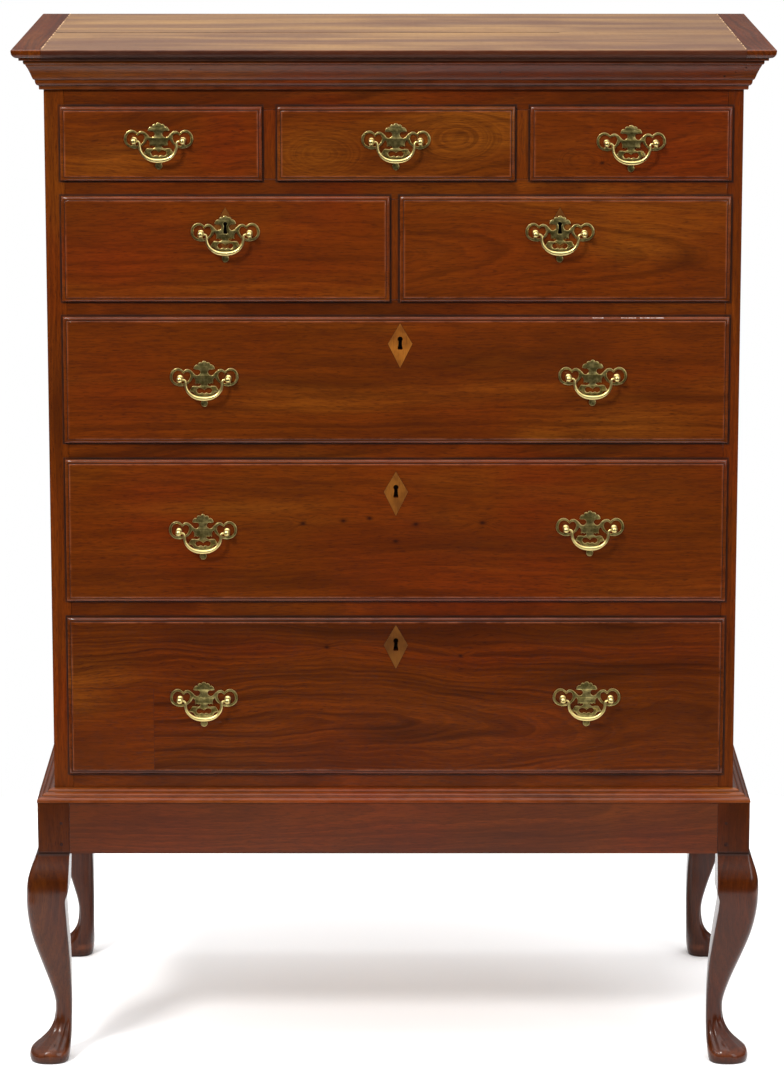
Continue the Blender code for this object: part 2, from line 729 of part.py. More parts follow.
def bail_mesh():
    """A U-shaped handle that hangs from its two pins and swells towards the middle."""
    pin_end = POST_SPACING / 2 - BALL + BORE_DEPTH - 0.0005
    half = [
        (pin_end, 0.0, PIN), (0.0296, 0.0, PIN), (0.0278, -0.0018, BAIL_THIN), (0.0280, -0.0090, BAIL_THIN),
        (0.0262, -0.0160, BAIL_THIN), (0.0215, -0.0225, 0.0020), (0.0145, -0.0268, 0.0025),
        (0.0070, -0.0289, BAIL_THICK),
    ]
    points = half + [(-x, z, r) for x, z, r in half[::-1]]
    curve = bpy.data.curves.new("bail", "CURVE")
    curve.dimensions = "3D"
    curve.bevel_depth = 1.0
    curve.bevel_resolution = 1
    curve.use_fill_caps = True
    spline = curve.splines.new("POLY")
    spline.points.add(len(points) - 1)
    for point, (x, z, radius) in zip(spline.points, points):
        point.co = (x, 0, z, 1)
        point.radius = radius
    return as_mesh(curve, "bail")


EARS = [ear_hole(-1), ear_hole(1), scroll_hole()]
KITE_TO_POSTS = 0.0135
PLATE = pull_plate_mesh("pull_plate", EARS)
PLATE_KEYHOLE = keyhole_outline(KITE_TO_POSTS, PLATE_KEY_NARROWER)
KEY_PLATE = pull_plate_mesh("pull_plate_with_keyhole", EARS + [PLATE_KEYHOLE])
BAIL = bail_mesh()


def wide_pulls(left, right):
    """A long drawer's two pulls, each given as its place across the chest and its rise."""
    return [("_left", *left, PLATE), ("_right", *right, PLATE)]


def second_row_pull(x):
    """A pull whose keyhole lies over the drawer's, and the kite that shows above it."""
    rise = 0.0244
    tip_below_top = SECOND_HEIGHT / 2 - rise - KITE_TO_POSTS - KEY_BELOW_TIP
    return [("", x, rise, KEY_PLATE)], (x, tip_below_top)


def drawers():
    top_left_end = MIDDLE_LEFT - TOP_DIVIDER_SHOWN
    top_right_end = MIDDLE_RIGHT + TOP_DIVIDER_SHOWN
    left_pull, left_kite = second_row_pull(-0.2471)
    right_pull, right_kite = second_row_pull(0.2438)
    third_pulls = wide_pulls((-0.2798, 0.0040), (0.2937, 0.0056))
    fourth_pulls = wide_pulls((-0.2836, 0.0004), (0.2918, 0.0054))
    bottom_pulls = wide_pulls((-0.2844, -0.0029), (0.2891, -0.0020))
    half_shown = SECOND_DIVIDER_SHOWN / 2
    left, right = DRAWERS_LEFT, DRAWERS_RIGHT
    for drawer in (
        Drawer("top_left", TOP_ROW, left, top_left_end, [("", -0.3435, 0.0060, PLATE)]),
        Drawer("top_middle", TOP_ROW, MIDDLE_LEFT, MIDDLE_RIGHT, [("", 0.0032, 0.0049, PLATE)]),
        Drawer("top_right", TOP_ROW, top_right_end, right, [("", 0.3468, 0.0023, PLATE)]),
        Drawer("second_left", SECOND_ROW, left, SECOND_DIVIDER_X - half_shown, left_pull, left_kite),
        Drawer("second_right", SECOND_ROW, SECOND_DIVIDER_X + half_shown, right, right_pull, right_kite),
        Drawer("third", THIRD_ROW, left, right, third_pulls, (0.0095, 0.0088)),
        Drawer("fourth", FOURTH_ROW, left, right, fourth_pulls, (0.0033, 0.0172)),
        Drawer("bottom", BOTTOM_ROW, left, right, bottom_pulls, (0.0033, 0.0105)),
    ):
        drawer.build()


stand()
case()
drawers()
for chest_object in CHEST.objects:
    if chest_object.type == "MESH":
        chest_object.data.shade_smooth()
        chest_object.data.set_sharp_from_angle(angle=math.radians(35))
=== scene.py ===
"""The looks of a tall walnut chest of drawers on a low stand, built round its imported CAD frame.

Metres, in the frame's own axes: +X runs to the right, -Y is the front and +Z is up.
"""

import json
import math
from dataclasses import dataclass

import bmesh
import bpy
from mathutils import Matrix, Vector, noise

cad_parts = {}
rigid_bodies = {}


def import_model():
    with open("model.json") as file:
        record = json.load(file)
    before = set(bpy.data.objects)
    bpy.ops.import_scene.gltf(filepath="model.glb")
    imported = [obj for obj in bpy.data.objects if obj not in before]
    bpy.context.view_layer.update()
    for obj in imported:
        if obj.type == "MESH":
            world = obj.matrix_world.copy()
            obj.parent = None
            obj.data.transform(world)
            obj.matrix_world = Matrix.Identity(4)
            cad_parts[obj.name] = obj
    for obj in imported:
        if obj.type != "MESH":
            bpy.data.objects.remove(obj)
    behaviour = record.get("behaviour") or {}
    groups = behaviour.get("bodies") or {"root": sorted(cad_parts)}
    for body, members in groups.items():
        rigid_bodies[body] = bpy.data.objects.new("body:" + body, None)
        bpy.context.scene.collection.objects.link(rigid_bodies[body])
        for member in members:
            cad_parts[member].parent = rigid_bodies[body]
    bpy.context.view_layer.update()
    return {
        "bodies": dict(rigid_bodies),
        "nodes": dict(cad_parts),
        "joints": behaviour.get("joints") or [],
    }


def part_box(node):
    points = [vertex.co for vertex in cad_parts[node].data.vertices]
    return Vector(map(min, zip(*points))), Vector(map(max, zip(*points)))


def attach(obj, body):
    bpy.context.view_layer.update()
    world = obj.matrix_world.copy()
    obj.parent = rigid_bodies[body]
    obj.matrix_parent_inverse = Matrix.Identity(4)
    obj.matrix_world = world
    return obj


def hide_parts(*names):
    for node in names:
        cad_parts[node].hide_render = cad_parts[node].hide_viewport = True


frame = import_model()

# Sizes that the frame gives
MM = 0.001
GAP = 0.3 * MM
SIDE_LOW, SIDE_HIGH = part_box("case_side_left")
CASE_FRONT, CASE_BACK = SIDE_LOW.y, SIDE_HIGH.y
HALF_CASE = -SIDE_LOW.x
TOP_LOW, TOP_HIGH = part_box("case_top")
HEIGHT, TOP_UNDER = TOP_HIGH.z, TOP_LOW.z
TOP_THICK = HEIGHT - TOP_UNDER
CORNICE_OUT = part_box("cornice_moulding")[1].x - HALF_CASE
STAND_LOW, STAND_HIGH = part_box("stand_rail_front")
RAIL_BOTTOM, STAND_TOP = STAND_LOW.z, STAND_HIGH.z
STAND_FRONT = STAND_LOW.y
HALF_STAND = HALF_CASE + CASE_FRONT - STAND_FRONT
POST_SIDE = HALF_STAND - STAND_HIGH.x - GAP
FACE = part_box("drawer_front_third")[0].y
FACE_OUT = CASE_FRONT - FACE

DRAWERS = [name[len("drawer_"):] for name in frame["bodies"] if name.startswith("drawer_")]
PULLS = [name[len("bail_"):] for name in frame["bodies"] if name.startswith("bail_")]
HINGES = {}
for joint in frame["joints"]:
    if joint["name"].startswith("bail_"):
        HINGES[joint["name"][len("bail_"):-len("_hinge")]] = Vector(joint["pos_m"])

SIDES = ((-1, "left"), (1, "right"))


# Materials

UNIFORM = {"metallic": "Metallic", "coat": "Coat Weight", "coat_rough": "Coat Roughness",
           "specular": "Specular IOR Level", "emission": "Emission Strength"}
WAX = {"specular": 0.2, "coat": 0.10, "coat_rough": 0.15}
WALNUT = {"dark": (36, 13, 3), "mid": (99, 43, 5), "red": (106, 35, 6), "light": (138, 76, 18)}
# The fourth of these colours is dirt and painted shade in the quirks and round the lips; the fifth is wear
# and a painted highlight on the arrises.
FIBRE, PORE, STAIN, DIRT_AND_SHADE, RUBBED_AND_HIGHLIGHT = (60, 22, 6), (36, 13, 5), (28, 11, 6), (22, 9, 5), (156, 88, 56)
TINT_SHARE = 0.42


class Value:
    """A node's output. Arithmetic with it adds Math nodes to its tree."""

    def __init__(self, nodes, socket):
        self.nodes, self.socket = nodes, socket

    def __add__(self, other):
        return self.nodes.math("ADD", self, other)

    def __sub__(self, other):
        return self.nodes.math("SUBTRACT", self, other)

    def __mul__(self, other):
        return self.nodes.math("MULTIPLY", self, other)

    def __truediv__(self, other):
        return self.nodes.math("DIVIDE", self, other)


class Nodes:
    """A material's shader tree, built with short calls. A value is a number, a tuple or a Value."""

    def __init__(self, name):
        self.material = bpy.data.materials.new(name)
        self.material.use_nodes = True
        self.tree = self.material.node_tree
        self.shader = self.tree.nodes["Principled BSDF"]
        self.object = self.node("TexCoord", {}, "Object")
        self.place = self.split(self.object)

    def put(self, socket, value):
        if isinstance(value, Value):
            self.tree.links.new(value.socket, socket)
        elif value is not None:
            socket.default_value = value

    def node(self, kind, values, output=0, **settings):
        """A new node's output, after its settings and its inputs, which values names or numbers."""
        made = self.tree.nodes.new(f"ShaderNode{kind}")
        for key, setting in settings.items():
            setattr(made, key, setting)
        for key, value in values.items():
            self.put(made.inputs[key], value)
        return Value(self, made.outputs[output])

    def math(self, operation, a, b=None, clamp=False):
        return self.node("Math", {0: a, 1: b}, operation=operation, use_clamp=clamp)

    def mix(self, factor, a, b):
        return self.node("Mix", {0: factor, 6: a, 7: b}, 2, data_type="RGBA")

    def layers(self, body, *layers):
        """A colour with each layer's (amount, colour) laid over it in turn."""
        for amount, colour in layers:
            body = self.mix(amount, body, colour)
        return body

    def noise(self, vector, scale, detail=2.0, rough=0.5, output=0):
        values = {"Vector": vector, "Scale": scale, "Detail": detail, "Roughness": rough}
        return self.node("TexNoise", values, output)

    def grain(self, x, y, z, detail, rough=0.5, output=0):
        """Noise at a place whose three ways are already scaled, each by its own amount."""
        return self.noise(self.node("CombineXYZ", {0: x, 1: y, 2: z}), 1.0, detail, rough, output)

    def steps(self, value, low, high, to_low=0.0, to_high=1.0):
        """A smooth change from to_low to to_high as value goes from low to high."""
        values = {"Value": value, 1: low, 2: high, 3: to_low, 4: to_high}
        return self.node("MapRange", values, interpolation_type="SMOOTHSTEP")

    def split(self, vector):
        made = self.tree.nodes.new("ShaderNodeSeparateXYZ")
        self.put(made.inputs[0], vector)
        return {axis: Value(self, socket) for axis, socket in zip("xyz", made.outputs)}

    def facing(self, axis):
        """How far the surface turns along one of the object's axes."""
        return self.split(self.node("TexCoord", {}, "Normal"))[axis]

    def attribute(self, name):
        return self.node("Attribute", {}, "Fac", attribute_name=name)

    def rub_and_highlight(self, scale):
        """The mesh's wear attribute, broken up by a noise of this scale: rubbed arrises that also carry a
        painted highlight.
        """
        return self.attribute("wear_and_highlight") * self.steps(self.noise(self.object, scale, 4.0, 0.6), 0.30, 0.66)

    def finish(self, colour, roughness, height=None, depth=0.2 * MM, **uniform):
        self.put(self.shader.inputs["Base Color"], colour)
        self.put(self.shader.inputs["Roughness"], roughness)
        if height is not None:
            bump = self.node("Bump", {"Strength": 1.0, "Distance": depth, "Height": height})
            self.put(self.shader.inputs["Normal"], bump)
        for key, value in uniform.items():
            self.shader.inputs[UNIFORM[key]].default_value = value
        return self.material


def rgb(red, green, blue, tone=1.0):
    """A linear colour from what a display shows, 0 to 255 in each channel, darkened by a tone."""
    channels = (red, green, blue)
    linear = [((c / 255 + 0.055) / 1.055) ** 2.4 if c > 10 else c / 255 / 12.92 for c in channels]
    return (*(tone * c for c in linear), 1.0)


@dataclass
class Board:
    """How one board shows its grain.

    axes names the ways along the grain, through the board and across it. heart is where the log's
    heart passes: (along, depth behind the face, across). tilt is how fast it comes towards the face
    along the board, which draws arches. spacing is a ring's width and warp how far the grain wanders.
    figure, light, red and dark say how much of each there is. ovals, knots and spots are lists of
    (along, across, size), and tints are (along, across, size, stretch, shade) clouds of a shade.
    """

    seed: float
    axes: str = "xyz"
    face: float = FACE
    heart: tuple = (0.0, 0.08, 0.0)
    tilt: float = 0.03
    spacing: float = 0.008
    warp: float = 0.006
    figure: float = 0.4
    light: float = 0.4
    red: float = 0.4
    dark: float = 0.5
    ovals: tuple = ()
    knots: tuple = ()
    spots: tuple = ()
    tints: tuple = ()


def bell(tree, along, across, mark, stretch):
    """1 at the mark's centre and near 0 past its size, which is stretched along the grain."""
    x, z, size = mark
    dx, dz = (along - x) / (size * stretch), (across - z) / size
    square = dx * dx + dz * dz
    return tree.math("POWER", math.e, square * -1.0), square


def wood_pattern(tree, board):
    """A board's marks from 0 to 1: rings, clouds, streaks, fibres, pores, stain and its tints' clouds."""
    along, through, across = (tree.place[axis] for axis in board.axes)
    far = along + board.seed
    bend = tree.split(tree.grain(far * 2.6, through * 5.0, across * 7.0, 3.0, output=1))
    line = (bend["z"] - 0.5) * (board.warp * 5) + across
    deep = (bend["y"] - 0.5) * (board.warp * 4) + (through - (board.face - board.heart[1]))
    deep = (along - board.heart[0]) * board.tilt + deep
    for mark in board.knots:
        hump, _ = bell(tree, along, across, mark, 2.0)
        side = tree.math("SIGN", across - (mark[1] - 0.001))
        line = hump * side * (mark[2] * 0.7) + line
    wide = line - board.heart[2]
    radius = tree.math("SQRT", deep * deep + wide * wide)
    for mark in board.ovals:
        hump, square = bell(tree, along, across, mark, 1.7)
        oval = tree.math("SQRT", square) * (mark[2] * 0.9)
        radius = (oval - radius) * tree.steps(hump, 0.08, 0.75) + radius
    turns = radius * (1 / board.spacing) + bend["x"] * 3.0
    saw = tree.math("FRACT", turns)
    uneven = tree.node("TexWhiteNoise", {"W": tree.math("FLOOR", turns)}, noise_dimensions="1D")
    rings = tree.steps(saw, 0.0, 0.88) * tree.steps(saw, 0.90, 1.0, 1.0, 0.0) * (uneven * 0.75 + 0.25)
    clouds = tree.grain(far * 1.7, 0.0, line * 14.0, 3.0, 0.55)
    streaks = tree.grain(far * 2.2, through * 40.0, radius * 120.0, 5.0, 0.68)
    fibres = tree.grain(far * 30.0, through * 200.0, line * 460.0, 3.0, 0.7)
    pores = tree.steps(tree.grain(far * 85.0, through * 800.0, line * 1300.0, 1.0), 0.58, 0.70)
    stain = None
    for x, z, size in [*((x, z, size * 0.30) for x, z, size in board.knots), *board.spots]:
        dot = bell(tree, along, across, (x, z, size), 1.5)[0]
        stain = dot if stain is None else tree.math("MAXIMUM", stain, dot)
    tints = [(bell(tree, along, line, mark[:3], mark[3])[0], mark[4]) for mark in board.tints]
    return rings, clouds, streaks, fibres, pores, stain, tints


def lip_dirt_and_shade(tree):
    """1 on the case along the drawers' lips, for dirt and the painted shade that the lips cast, and 0 a few
    millimetres away.
    """
    nearest = 1.0
    for low, high in FRONTS.values():
        outside = []
        for axis, start, end in (("x", low.x, high.x), ("z", low.z, high.z)):
            off = tree.math("ABSOLUTE", tree.place[axis] - (start + end) / 2)
            outside.append(off - (end - start) / 2)
        nearest = tree.math("MINIMUM", nearest, tree.math("MAXIMUM", *outside))
    uneven = tree.steps(tree.noise(tree.object, 26.0, 3.0), 0.25, 0.6, 0.55, 1.0)
    return tree.steps(nearest, 1.1 * MM, 4.1 * MM, 1.0, 0.0) * uneven


def walnut(name, board, gloss=0.22, tone=1.0, framing=False):
    """Old waxed walnut: figure, darker streaks, open pores, arrises paled by wear and a painted highlight,
    and dirt and painted shade in the quirks.

    framing is for the boards of the case's front, which hold a line of dirt and painted shade round each
    drawer.
    """
    tree = Nodes(name)
    rings, clouds, streaks, fibres, pores, stain, tints = wood_pattern(tree, board)
    shade = {key: rgb(*colour, tone) for key, colour in WALNUT.items()}
    dirt_and_shade = tree.attribute("dirt_and_shade")
    # The framing boards also get a line of dirt and painted shade round each drawer's lip.
    if framing:
        dirt_and_shade = tree.math("MAXIMUM", dirt_and_shade, lip_dirt_and_shade(tree))
    body = tree.layers(
        shade["mid"],
        (tree.steps(tree.noise(tree.object, 4.5), 0.36, 0.70, 0.0, board.red), shade["red"]),
        (tree.steps(clouds, 0.50, 0.74, 0.0, board.light), shade["light"]),
        (tree.steps(clouds, 0.48, 0.28, 0.0, board.dark), shade["dark"]),
        *[(cloud * TINT_SHARE, shade[key]) for cloud, key in tints],
        (tree.steps(streaks, 0.42, 0.68, 0.0, 1.1 * board.figure), shade["dark"]),
        (rings * (0.85 * board.figure), shade["dark"]),
        (tree.steps(fibres, 0.38, 0.70, 0.0, 0.5), rgb(*FIBRE, tone)),
        (pores * 0.5, rgb(*PORE, tone)),
        *([] if stain is None else [(tree.math("MULTIPLY", stain, 0.9, clamp=True), rgb(*STAIN))]),
        # Dirt and painted shade in the quirks, under edges and round the lips.
        (dirt_and_shade * 0.92, rgb(*DIRT_AND_SHADE)),
        # Rubbed arrises, paler both from wear and as a painted highlight.
        (tree.rub_and_highlight(45.0) * 0.45, rgb(*RUBBED_AND_HIGHLIGHT)),
    )
    roughness = tree.noise(tree.object, 8.0, 3.0) * 0.12 + (gloss - 0.06) + dirt_and_shade * 0.3
    height = pores * -0.30 + fibres * 0.22 + tree.noise(tree.object, 11.0) * 2.0
    return tree.finish(body, roughness, height, 0.12 * MM, **WAX)


def worn_top_and_sheen(name, seed, heart):
    """The top, bleached and dull from use, with an edge that is still polished walnut. Its upward face is
    painted pale, partly for bleaching and partly as a painted reflection.
    """
    tree = Nodes(name)
    rings, clouds, streaks, fibres, pores, _, _ = wood_pattern(
        tree, Board(seed, "xzy", HEIGHT, heart, 0.02, 0.011, 0.012))
    light = tree.layers(
        rgb(98, 68, 48), (tree.steps(clouds, 0.32, 0.68), rgb(146, 110, 66)),
        (tree.steps(tree.noise(tree.object, 5.0, 5.0, 0.6), 0.46, 0.68, 0.0, 0.5), rgb(86, 54, 36)),
        (tree.steps(tree.place["x"], 0.1, 0.5, 0.0, 0.4), rgb(84, 52, 34)),
        (tree.steps(streaks, 0.42, 0.75, 0.0, 0.5), rgb(92, 60, 42)), (rings * 0.20, rgb(92, 56, 36)),
    )
    edge = tree.mix(tree.steps(clouds, 0.3, 0.7), rgb(50, 18, 6), rgb(76, 32, 10))
    body = tree.layers(
        # Upward faces take the pale colour: bleaching, and a painted reflection of the bright overhead.
        edge, (tree.steps(tree.facing("z"), 0.90, 0.995), light),
        (tree.steps(fibres, 0.40, 0.75, 0.0, 0.35), rgb(84, 50, 30)), (pores * 0.4, rgb(50, 28, 16)),
        # A painted highlight with the wear on the arris, and dirt with painted shade under the edge.
        (tree.rub_and_highlight(30.0) * 0.4, rgb(150, 100, 70)), (tree.attribute("dirt_and_shade") * 0.8, rgb(24, 12, 8)),
    )
    roughness = tree.noise(tree.object, 12.0, 3.0) * 0.25 + 0.34
    return tree.finish(body, roughness, pores * -0.4 + fibres * 0.5, 0.2 * MM, specular=0.2)


def raw_wood(name, seed, axes, face=0.0, pale=rgb(176, 136, 86), dark=rgb(128, 90, 52)):
    """Unfinished secondary wood, planed by hand and browned by age."""
    tree = Nodes(name)
    rings, clouds, streaks, fibres, pores, _, _ = wood_pattern(
        tree, Board(seed, axes, face, (0.1, 0.09, 0.05), 0.03, 0.010, 0.010))
    body = tree.layers(
        dark, (tree.steps(clouds, 0.3, 0.7), pale), (tree.steps(streaks, 0.45, 0.75, 0.0, 0.4), dark),
        (rings * 0.3, rgb(112, 74, 42)), (tree.steps(fibres, 0.4, 0.8, 0.0, 0.35), rgb(96, 64, 38)),
        (tree.steps(tree.noise(tree.object, 6.0, 4.0, 0.65), 0.5, 0.75, 0.0, 0.45), rgb(74, 52, 36)),
    )
    height = pores * -0.3 + fibres * 0.8 + tree.noise(tree.object, 20.0) * 2.0
    return tree.finish(body, 0.72, height, 0.25 * MM, specular=0.3)


def inlay_wood(name, tone):
    """The kites' fruitwood, orange-tan with a fine upright grain."""
    tree = Nodes(name)
    grain = tree.grain(tree.place["x"] * 900.0, 0.0, tree.place["z"] * 60.0, 3.0, 0.6)
    body = tree.layers(
        rgb(100 * tone, 55 * tone, 14 * tone),
        (tree.steps(tree.noise(tree.object, 45.0), 0.3, 0.7), rgb(134 * tone, 80 * tone, 25 * tone)),
        (tree.steps(grain, 0.45, 0.75, 0.0, 0.6), rgb(66, 32, 8)),
    )
    return tree.finish(body, 0.32, grain, 0.05 * MM, **WAX)


def brass(name, tarnish_and_dark_reflection):
    """Cast brass: olive tarnish with a painted dark reflection on the flat that faces front, burnished edges
    left bright as a painted highlight, and small pits.
    """
    tree = Nodes(name)
    random = tree.node("ObjectInfo", {}, "Random")
    place = tree.node("VectorMath", {0: tree.object, 1: random}, operation="ADD")
    # Flats facing the front darken: tarnish and a painted dark reflection; the edges stay bright as a
    # painted highlight.
    flat = tree.steps(tree.facing("y") * -1.0, 0.86, 0.99)
    cloud = tree.steps(tree.noise(place, 130.0, 4.0, 0.65), 0.30, 0.62, 0.55, 1.0)
    amount = flat * cloud * tarnish_and_dark_reflection
    speck = tree.steps(tree.noise(place, 800.0), 0.60, 0.74)
    body = tree.layers(
        rgb(230, 212, 146), (tree.noise(place, 60.0), rgb(206, 184, 114)), (amount, rgb(76, 68, 28)),
        (speck * (0.5 * tarnish_and_dark_reflection), rgb(70, 58, 28)),
    )
    height = speck * -0.6 + tree.noise(place, 240.0, 3.0)
    return tree.finish(body, amount * 0.08 + 0.30, height, 0.10 * MM, metallic=1.0)


def mottled(name, colour, other, rough, scale, metallic=0.0):
    """Two close colours in fine mottling, for iron, glue lines, pegs and chipped finish."""
    tree = Nodes(name)
    mottle = tree.noise(tree.object, scale, 4.0, 0.6)
    body = tree.mix(tree.steps(mottle, 0.35, 0.65), colour, other)
    roughness = mottle * 0.2 + (rough - 0.1)
    return tree.finish(body, roughness, mottle, 0.08 * MM, metallic=metallic, specular=0.05)


# Shapes

BROAD_EDGE = 48  # degrees that an edge of a drawer front turns by before it shows as sharp


def add(name, data, at=(0.0, 0.0, 0.0), turn=(0.0, 0.0, 0.0)):
    obj = bpy.data.objects.new(name, data)
    bpy.context.scene.collection.objects.link(obj)
    obj.location, obj.rotation_euler = at, turn
    return obj


def mesh_of(bm, name, sharp=38):
    """The bmesh as a mesh, smooth but for edges that turn by more than sharp degrees."""
    bmesh.ops.recalc_face_normals(bm, faces=bm.faces)
    mesh = bpy.data.meshes.new(name)
    bm.to_mesh(mesh)
    bm.free()
    mesh.shade_smooth()
    mesh.set_sharp_from_angle(angle=math.radians(sharp))
    return mesh


def as_bmesh(mesh):
    """The mesh as a bmesh, in its place."""
    bm = bmesh.new()
    bm.from_mesh(mesh)
    bpy.data.meshes.remove(mesh)
    return bm


def settled(obj, *others):
    """An object's mesh with its modifiers applied. The object and the others are removed."""
    bpy.context.view_layer.update()
    graph = bpy.context.evaluated_depsgraph_get()
    mesh = bpy.data.meshes.new_from_object(obj.evaluated_get(graph))
    for used in (obj, *others):
        bpy.data.objects.remove(used)
    return mesh


def piece(name, mesh, material, body="case", stands_for=(), at=(0.0, 0.0, 0.0)):
    """Shows a mesh as a piece that rides on a body, in place of some CAD nodes or beside them."""
    obj = add(name, mesh, at)
    if not mesh.materials:
        mesh.materials.append(material)
    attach(obj, body)
    if stands_for:
        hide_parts(*stands_for)


def add_block(bm, low, high, ease):
    """A block between two corners, with eased edges."""
    low, high = Vector(low), Vector(high)
    matrix = Matrix.Translation((high + low) / 2) @ Matrix.Diagonal((*(high - low), 1.0))
    made = bmesh.ops.create_cube(bm, size=1.0, matrix=matrix)
    edges = list({edge for vert in made["verts"] for edge in vert.link_edges})
    bmesh.ops.bevel(bm, geom=edges, offset=ease, segments=2, profile=0.5, affect="EDGES")


def skin(bm, rows):
    """Faces along the rows of a closed tube, with a cap at each end."""
    count = len(rows[0])
    for one, other in zip(rows, rows[1:]):
        for i in range(count):
            j = (i + 1) % count
            bm.faces.new((one[i], one[j], other[j], other[i]))
    bm.faces.new(rows[0])
    bm.faces.new(rows[-1])


def boards(name, blocks, material, body="case", stands_for=(), ease=0.5 * MM):
    """One piece of eased blocks, each given as its low and high corners."""
    bm = bmesh.new()
    for low, high in blocks:
        add_block(bm, low, high, ease)
    piece(name, mesh_of(bm, name, 20), material, body, stands_for)


def loft(name, rings, marks=(), sharp=38):
    """A mesh through rings of points. marks are (attribute, function of ring and point) pairs."""
    bm = bmesh.new()
    layers = [(bm.verts.layers.float.new(key), value) for key, value in marks]
    rows = []
    for r, ring in enumerate(rings):
        row = [bm.verts.new(point) for point in ring]
        for layer, value in layers:
            for p, vert in enumerate(row):
                vert[layer] = value(r, p)
        rows.append(row)
    skin(bm, rows)
    return mesh_of(bm, name, sharp)


def arc(centre, radius, start, end, steps):
    angles = [math.radians(start + (end - start) * i / steps) for i in range(steps + 1)]
    return [(centre[0] + radius * math.cos(a), centre[1] + radius * math.sin(a)) for a in angles]


def quarter(start, end, steps=8):
    """A quarter of an ellipse from start to end, in millimetres, which swells outwards."""
    (x, z), (end_x, end_z) = start, end
    angles = [math.pi / 2 * i / steps for i in range(steps + 1)]
    return [(x + (end_x - x) * (1 - math.cos(a)), z + (end_z - z) * math.sin(a)) for a in angles]


def smooth(stations, at):
    """Monotone cubic through (position, value) stations."""
    xs, ys = [s[0] for s in stations], [s[1] for s in stations]
    steps = [b - a for a, b in zip(xs, xs[1:])]
    slopes = [(b - a) / h for a, b, h in zip(ys, ys[1:], steps)]
    tangents = [slopes[0]]
    for a, b in zip(slopes, slopes[1:]):
        tangents.append(2 * a * b / (a + b) if a * b > 0 else 0.0)
    tangents.append(slopes[-1])
    i = min(max(sum(x <= at for x in xs) - 1, 0), len(steps) - 1)
    t = min(max((at - xs[i]) / steps[i], 0.0), 1.0)
    rise = ys[i + 1] - ys[i]
    bend_in = tangents[i] * steps[i] - rise
    bend_out = rise - tangents[i + 1] * steps[i]
    return ys[i] + t * rise + t * (1 - t) * ((1 - t) * bend_in + t * bend_out)


def waver(place, size, pitch=9.0):
    """A small smooth offset, as hand tools and wear leave."""
    return size * noise.noise(Vector(place) * pitch)


def spread(low, high, pitch):
    """Evenly spaced values from low to high, about a pitch apart."""
    count = max(1, round((high - low) / pitch))
    return [low + (high - low) * i / count for i in range(count + 1)]


def flat_shape(name, outlines, half_thick, bevel=0.0):
    """A flat piece in the XZ plane about Y = 0: the first outline is its edge, the rest are holes.

    A point (x, z) is smooth and (x, z, 0) is a corner.
    """
    curve = bpy.data.curves.new(name, "CURVE")
    curve.dimensions, curve.fill_mode = "2D", "BOTH"
    curve.extrude, curve.offset = half_thick - bevel, -bevel
    curve.bevel_depth, curve.bevel_resolution = bevel, 1
    for outline in outlines:
        spline = curve.splines.new("BEZIER")
        spline.resolution_u = 4
        spline.use_cyclic_u = True
        spline.bezier_points.add(len(outline) - 1)
        for point, (x, z, *corner) in zip(spline.bezier_points, outline):
            point.co = (x, z, 0.0)
            point.handle_left_type = point.handle_right_type = "VECTOR" if corner else "AUTO"
    mesh = settled(add(name, curve))
    mesh.transform(Matrix.Rotation(math.pi / 2, 4, "X"))
    bm = as_bmesh(mesh)
    bmesh.ops.remove_doubles(bm, verts=bm.verts, dist=0.004 * MM)
    return mesh_of(bm, name)


def mirrored(half):
    """A closed outline from its +X half, which starts and ends on the line x = 0."""
    return half + [(-x, *rest) for x, *rest in half[-2:0:-1]]


def in_metres(points):
    """Points of two or more values, of which the first two are in millimetres."""
    return [(x * MM, z * MM, *rest) for x, z, *rest in points]


def add_turning(bm, profile, matrix, segments):
    """A shape turned from (radius, height) points in millimetres about Z, put in place by a matrix."""
    angles = [2 * math.pi * i / segments for i in range(segments)]
    skin(bm, [[bm.verts.new(matrix @ Vector((radius * math.cos(a), radius * math.sin(a), height)))
               for a in angles] for radius, height in in_metres(profile)])


def cut_out(mesh, cutter, name):
    """The mesh less the cutter, which are both in the same place."""
    whole, tool = add(name, mesh), add("cutter", cutter)
    modifier = whole.modifiers.new("cut", "BOOLEAN")
    modifier.operation, modifier.solver, modifier.object = "DIFFERENCE", "EXACT", tool
    made = settled(whole, tool)
    for used in (mesh, cutter):
        bpy.data.meshes.remove(used)
    made.set_sharp_from_angle(angle=math.radians(BROAD_EDGE))
    return made


# Top and mouldings, whose sections are rows of (out, up, wear and painted highlight, dirt and painted shade)
# in millimetres

RUN_PITCH, RUN_WAVER = 20 * MM, 0.25 * MM
TOP_SEAM_SHARE = 0.46
TOP_JOINT_END = 0.25
CORNICE_NAILS = ((0.512, 22.3, 27.0), (0.497, 18.8, 34.0), (0.481, 16.4, 40.0), (-0.295, 20.7, 30.0),
                 (0.155, 18.8, 34.0), (0.470, 8.4, 53.0))


def edge_section(inner):
    """Round the top's edge, from the top of the case face."""
    out, thick = CORNICE_OUT / MM, TOP_THICK / MM
    return in_metres([
        (inner, 0.0, 0.0, 0.0), (out - 6.0, 0.0, 0.1, 0.0), (out - 1.3, 0.0, 0.6, 0.0),
        (out - 0.3, -0.4, 0.6, 0.0), (out, -1.5, 0.2, 0.0),
        *[(*point, 0.0, 0.0) for point in quarter((out - 0.2, -3.0), (34.2, -12.5))],
        (33.6, -12.8, 0.0, 1.0), (33.2, -13.2, 0.1, 0.4), (33.0, -16.1, 0.3, 0.2),
        (32.6, -thick, 0.0, 1.0), (20.0, -thick, 0.0, 1.0), (inner, -thick, 0.0, 0.0),
    ])


